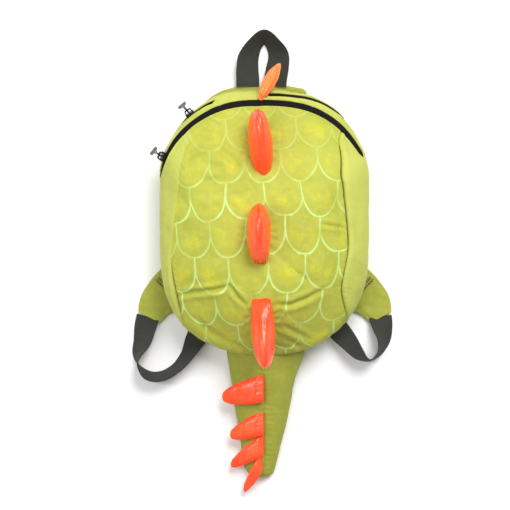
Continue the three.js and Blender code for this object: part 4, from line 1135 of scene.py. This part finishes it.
def makeTail():
    look = tail
    rows = np.array(look["sections"])
    fine = np.concatenate([throughPoints(rows[:, :3], look["rings"]), throughPoints(
        np.stack([rows[:, 0], rows[:, 3], rows[:, 4]], axis=-1), look["rings"])[:, 1:]], axis=1)
    rings = []
    for along, left, right, seam, height in fine:
        y = look["rootY"] - along * look["length"]
        seamX, tall = seam * look["width"] / 2, height * look["height"]
        sides = []
        for side, reach in ((1, right), (-1, left)):
            wide = side * reach * look["width"] / 2 - seamX
            angle = np.linspace(0, np.pi / 2, 22)
            x = seamX + wide * np.sin(angle) ** 1.1
            z = tall * (look["edge"] + (1 - look["edge"]) * np.cos(angle) ** 0.9)
            under = np.linspace(0, 1, 9)[1:] * np.pi / 2
            narrow = 1 - (1 - look["flat"]) * (1 - np.cos(under))
            bottom = np.linspace(look["flat"], 0, 7)[1:]
            x = np.concatenate([x, seamX + wide * narrow, seamX + wide * bottom])
            z = np.concatenate([z, tall * look["edge"] * (1 - np.sin(under)), 0 * bottom])
            sides.append(np.stack([x, np.full(x.shape, y), z], axis=-1))
        rings.append(np.vstack([sides[0], sides[1][1:-1][::-1]]))
    rings = np.array(rings)
    centre = rings.mean(axis=1, keepdims=True)
    out = unitRows(rings - centre)
    above = smoothStep(rings[..., 2], 1, 8)
    fromSeam = np.abs(rings[..., 0] - rings[:, :1, 0])
    slanted = rings @ np.array([[0.85, 0.53, 0], [-0.53, 0.85, 0], [0, 0, 1]])
    patches = smoothStep(softNoise(rings, 26, 9), -0.3, 0.4)
    depth = look["soft"] * softNoise(rings, (18, 22, 16), 71)
    depth -= look["crinkle"] * crinkle(slanted, (26, 12, 20), 75) * patches
    depth += 0.4 * valley(fromSeam - 3, 1.8) - look["seamDepth"] * valley(fromSeam, 0.9)
    depth += 0.3 * np.sin(rings[..., 1] * 1.15) * valley(fromSeam - 5, 4)
    tip = np.clip((look["rootY"] - rings[..., 1]) / look["length"], 0, 1)
    rings = rings + out * (depth * above * (1 - 0.6 * tip ** 6))[..., None]
    rings[..., 2] = np.maximum(rings[..., 2], 0)
    points, faces = closedLoft(rings)
    uv = np.vstack([rings[..., :2].reshape(-1, 2), [[0, 0], [0, 0]]])
    piece = makePiece("Tail", points, faces, tailClothPaintedShade, uv=uv, replaced=["tail"])


makeTail()
for n, (along, height, length, swing) in enumerate(tail["spikes"]):
    seamX = tailColumn(along, 3) * tail["width"] / 2
    left = tailColumn(along, 1) * tail["width"] / 2
    tall = tailColumn(along, 4) * tail["height"]
    slope = (1 - tail["edge"]) * tall / (left + seamX) * tail["spikeSlope"]
    base = np.array([seamX - tail["spikeRoot"], tail["rootY"] - along * tail["length"],
                     tall + tail["spikeThick"] * tail["spikeRaised"]])
    outward = (-math.cos(swing), -math.sin(swing), -slope)
    makeFin(f"SpikeTail{n + 1}", f"spike_tail_{n + 1}", base, (0, 1, 0), outward,
            length * tail["spikeLength"], tail["spikeThick"], height * tail["spikeHeight"],
            tail["spikeLean"], seed=10 + n, sink=tail["spikeRoot"])
print("tail made")


# straps, webbing, yoke and handle
def bandUv(across, far):
    # flat places of a closed band: its width, its length, and the middles of its two end caps
    return np.vstack([pairUp(across, far[:, None]).reshape(-1, 2), [[0, 0], [0, far[-1]]]])


def throughValues(values, count, start=0.0, end=1.0):
    values = np.array(values, float)
    return throughPoints(np.stack([values, 0 * values, 0 * values], axis=-1), count, start, end)[:, 0]


strapTacks = {  # a dark sewn block where the webbing's end is held
    "rows": 4, "place": 0.728, "step": 0.0085, "reach": (-1, 18.5), "zigzag": 2.2, "turns": 13, "lift": 0.2,
}


def makeStrap(name, node, side):
    look, tacks = strap, strapTacks
    path = np.array(planPlaces(look["path"]))
    spreadOut = look["rightSpread"] if side > 0 else -1
    count, columns = 150, 44
    line = throughPoints(path * [spreadOut, 1, 0], count, look["start"])
    widths = throughValues(path[:, 2], count, look["start"])
    level = np.cross([0, 0, 1], unitRows(np.gradient(line, axis=0)))
    angles = roundTurns(columns)
    out = signedPower(np.cos(angles), 0.7)
    place, height = out * look["width"] / 2, np.abs(np.sin(angles))
    onTop = np.sin(angles) > 0
    low = look["edge"]
    rise = low + np.where(onTop, (1 - low) * height ** 0.5, -low * height ** 0.35)
    rings = line[:, None] + (level * widths[:, None])[:, None] * place[None, :, None]
    rings[..., 2] += rise * look["thick"]
    fromEdge = look["width"] / 2 - np.abs(place)
    lift = 0.45 * softNoise(rings, 13, 81) * smoothStep(fromEdge, 3, 9)
    lift = lift - 0.7 * valley(fromEdge - look["hem"], 1.1)
    lift = lift - 0.9 * crinkle(rings, (14, 10, 20), 85) * smoothStep(fromEdge, 2, 6)
    rings[..., 2] += lift * onTop
    points, faces = closedLoft(rings)
    piece = makePiece(name, points, faces, strapCloth, uv=bandUv(place, distancesAlong(line)),
                      replaced=[node])
    upward = np.tile([0, 0, 1.0], (count, 1))
    for s in (-1, 1):  # a row of stitches at the hem on each side, on the upper face
        apart = out - s * (1 - 2 * look["hem"] / look["width"])
        stitchLine("StrapStitches", rings[:, int(np.abs(apart + 9 * ~onTop).argmin())], upward)
    for n in range(tacks["rows"]):
        at = int((tacks["place"] + n * tacks["step"]) * (count - 1))
        wide = np.linspace(*tacks["reach"], tacks["turns"]) * side
        zigzag = line[at] + level[at] * wide[:, None] + [0, 0, look["thick"] + tacks["lift"]]
        zigzag[1::2, 1] += tacks["zigzag"]
        stitchLine("BarTacks", zigzag, upward[:len(zigzag)], length=1.9, spacing=2.1, thick=0.26)


makeStrap("ShoulderStrapLeft", "shoulder_strap_left", -1)
makeStrap("ShoulderStrapRight", "shoulder_strap_right", 1)

webbing = {
    "width": 25, "wall": 1.6, "floorPlay": 0.4, "count": 190, "ribHeight": 0.07, "ribPitch": 1.55,
    "endHeights": [3.2, 10],  # at the strap and at the bag; between them it stands on the floor
    "left": [  # x, y as shares of the body, tilt
        [-1.124, -0.722, 4], [-1.15, -0.806, 20], [-1.173, -0.903, 38], [-1.218, -1.0, 62],
        [-1.218, -1.076, 88], [-1.127, -1.156, 108], [-1.0, -1.167, 112], [-0.855, -1.111, 114],
        [-0.736, -1.007, 124], [-0.655, -0.889, 150], [-0.564, -0.75, 177],
    ],
    "right": [
        [1.15, -0.722, -6], [1.168, -0.8125, -30], [1.173, -0.91, -56], [1.127, -1.0, -76],
        [1.045, -1.045, -88], [0.945, -1.007, -118], [0.845, -0.917, -140], [0.736, -0.819, -160],
        [0.609, -0.701, -178],
    ],
}
handle = {
    "height": 48.4, "edgeY": 1.04 * bag["top"], "baseZ": 4.8,
    "part": (0.035, 0.965),  # the part of its path that is made
    "path": [  # x, y, tilt, z
        [-0.333, -0.08, 6, 0.03], [-0.333, 0.12, 10, 0.05], [-0.342, 0.36, 18, 0.065],
        [-0.322, 0.62, 30, 0.085], [-0.183, 0.91, 54, 0.14], [0.032, 1.09, 62, 0.18],
        [0.228, 0.92, 55, 0.14], [0.349, 0.68, 32, 0.085], [0.328, 0.42, 18, 0.065],
        [0.279, 0.14, 10, 0.05], [0.263, -0.08, 6, 0.03],
    ],
}


def makeWebbing(name, node, rows, start=0.0, end=1.0):
    look = webbing
    rows = np.array(rows, float)
    count = look["count"]
    line = throughPoints(rows[:, :3], count, start, end)
    tilt = np.radians(throughValues(rows[:, 3], count, start, end))
    ahead = unitRows(np.gradient(line, axis=0))
    level = unitRows(np.cross([0, 0, 1], ahead))
    lift = np.cross(ahead, level)
    wide = level * np.cos(tilt)[:, None] + lift * np.sin(tilt)[:, None]
    thin = np.cross(ahead, wide)
    across = np.linspace(-1, 1, 25)
    half = look["wall"] / 2 * (1 - 0.55 * np.abs(across) ** 12)
    ribs = look["ribHeight"] * np.cos(across * look["width"] * np.pi / look["ribPitch"])
    place = np.concatenate([across, across[::-1]]) * look["width"] / 2
    face = np.concatenate([half + ribs, -half - ribs])
    rings = line[:, None] + wide[:, None] * place[None, :, None] + thin[:, None] * face[None, :, None]
    points, faces = closedLoft(rings)
    makePiece(name, points, faces, webbingWeave, uv=bandUv(place, distancesAlong(line)),
              replaced=[node])


def restingRows(rows):
    # the webbing stands on the floor, higher the more it is tilted
    made = []
    for x, y, tilt in planPlaces(rows):
        angle = math.radians(tilt)
        tall = webbing["width"] * abs(math.sin(angle)) + webbing["wall"] * abs(math.cos(angle))
        made.append([x, y, tall / 2 + webbing["floorPlay"], tilt])
    made[0][2], made[-1][2] = webbing["endHeights"]
    return made


makeWebbing("WebbingLeft", "webbing_left", restingRows(webbing["left"]))
makeWebbing("WebbingRight", "webbing_right", restingRows(webbing["right"]))
handleRows = [[x * handle["height"], handle["edgeY"] + y * handle["height"],
               handle["baseZ"] + z * handle["height"], tilt] for x, y, tilt, z in handle["path"]]
makeWebbing("GrabHandle", "grab_handle", handleRows, *handle["part"])

yoke = {
    "wall": 2.4, "floor": 3.6, "edge": 1.6, "hem": 3.6,
    "outline": [  # shares of the body's width and top
        [-0.31, 0.79], [-0.334, 0.851], [-0.28, 0.924], [-0.244, 0.971], [-0.2, 1.009], [-0.127, 1.04],
        [0.114, 1.046], [0.201, 1.022], [0.212, 1.0], [0.223, 0.928], [0.245, 0.79],
    ],
}


def makeYoke():
    look = yoke
    corners = np.array(look["outline"]) * [bag["width"], bag["top"]]
    loop = np.vstack([corners, corners[:1]])
    far = distancesAlong(loop)
    at = np.linspace(0, far[-1], 241)[:-1]
    rim = np.stack([np.interp(at, far, loop[:, k]) for k in range(2)], axis=-1)
    for _ in range(3):
        rim = (np.roll(rim, 1, axis=0) + 2 * rim + np.roll(rim, -1, axis=0)) / 4
    middle = corners.mean(0)
    away = np.linalg.norm(rim - middle, axis=-1)
    rings = []
    shares = [0.1, 0.35, 0.6, 0.75, 0.84, 0.9, 0.95, 0.98, 1.0]
    for share, face in [(s, 1) for s in shares] + [(s, -1) for s in shares[::-1]]:
        inset = (1 - share) * away
        thick = look["wall"] / 2 * np.clip(inset / look["edge"], 0.12, 1) ** 0.5
        xy = middle + (rim - middle) * share
        z = look["floor"] + look["wall"] / 2 + face * (thick - 0.3 * valley(inset - look["hem"], 0.8))
        rings.append(np.column_stack([xy, z]))
    points, faces = closedLoft(np.array(rings))
    makePiece("BackYoke", points, faces, backCloth, uv=points[:, :2],
              replaced=["back_yoke"])
    sewn = rings[shares.index(0.9)]
    stitchLine("YokeStitches", sewn + [0, 0, 0.1], np.tile([0, 0, 1.0], (len(sewn), 1)))


makeYoke()
for group, thread, slotName in (
        ("ZipStitches", clothThread, "plain_cloth"), ("SpikeStitches", orangeThread, "spike_satin"),
        ("StrapStitches", clothThread, "back_cloth"), ("YokeStitches", clothThread, "back_cloth"),
        ("BarTacks", darkThread, "webbing")):
    makeStitches(group, thread)
print("straps, handle and stitches made")

# sliders and pulls keep their solids, with rounded edges
metalParts = {
    "bevel": 0.22, "neckShare": 0.62,  # a pull is black as far as this share of its length
    "finishes": {"slider_front": blackMetal, "slider_rear": blackMetal,
                 "pull_front": silverMetal, "pull_rear": silverMetal},
}
for node, finish in metalParts["finishes"].items():
    solid = frame["nodes"][node]
    solid.data.materials.clear()
    solid.data.materials.append(finish)
    bevel = solid.modifiers.new("rounded", "BEVEL")
    bevel.width, bevel.segments, bevel.limit_method = metalParts["bevel"] * metre, 2, "ANGLE"
    if node.startswith("pull"):
        solid.data.materials.append(blackMetal)
        joint = next(j for j in frame["joints"] if j["child"] == node.split("_")[1] + "_pull")
        pivot = Vector(joint["pos_m"])
        reach = max((v.co - pivot).length for v in solid.data.vertices)
        neck = reach * metalParts["neckShare"]
        for face in solid.data.polygons:
            face.material_index = 1 if (face.center - pivot).length < neck else 0

# floor, light and camera
studio = {
    "floor": (0.9, 0.9, 0.9), "floorHalf": 4.0, "floorZ": -0.0003, "sky": 0.42,
    "lamps": {  # place, width, length, power
        "key": [(0.5, 0.95, 1.55), 1.0, 1.0, 36], "strip": [(-0.62, 0.05, 1.0), 0.08, 1.1, 4.5],
        "fill": [(-0.9, -0.5, 1.6), 1.4, 1.4, 4],
    },
    "lampAim": (0, -0.03, 0), "cameraPlace": (-0.0084, -0.0378, 1.85), "lens": 121.0,
}


def makeStudio():
    look, scene = studio, bpy.context.scene
    half = look["floorHalf"]
    corners = [(x * half, y * half, look["floorZ"]) for x, y in ((-1, -1), (1, -1), (1, 1), (-1, 1))]
    floorMesh = bpy.data.meshes.new("Floor")
    floorMesh.from_pydata(corners, [], [(0, 1, 2, 3)])
    floor = bpy.data.objects.new("Floor", floorMesh)
    scene.collection.objects.link(floor)
    material, _, shader = newMaterial("PaleFloor")
    shader.inputs["Base Color"].default_value = (*look["floor"], 1)
    shader.inputs["Roughness"].default_value = 0.9
    floorMesh.materials.append(material)
    for name, (place, width, length, power) in look["lamps"].items():
        light = bpy.data.lights.new(name, "AREA")
        light.shape, light.size, light.size_y, light.energy = "RECTANGLE", width, length, power
        lamp = bpy.data.objects.new(name, light)
        lamp.location = place
        aim = Vector(look["lampAim"]) - lamp.location
        lamp.rotation_euler = aim.to_track_quat("-Z", "Y").to_euler()
        scene.collection.objects.link(lamp)
    scene.view_settings.view_transform = "Standard"
    world = bpy.data.worlds.new("Studio")
    world.use_nodes = True
    sky = world.node_tree.nodes["Background"]
    sky.inputs["Color"].default_value = (1, 1, 1, 1)
    sky.inputs["Strength"].default_value = look["sky"]
    scene.world = world
    camera = bpy.data.objects.new("Camera", bpy.data.cameras.new("Camera"))
    camera.data.lens = look["lens"]
    camera.location = look["cameraPlace"]
    scene.collection.objects.link(camera)
    scene.camera = camera


makeStudio()
print("studio made")
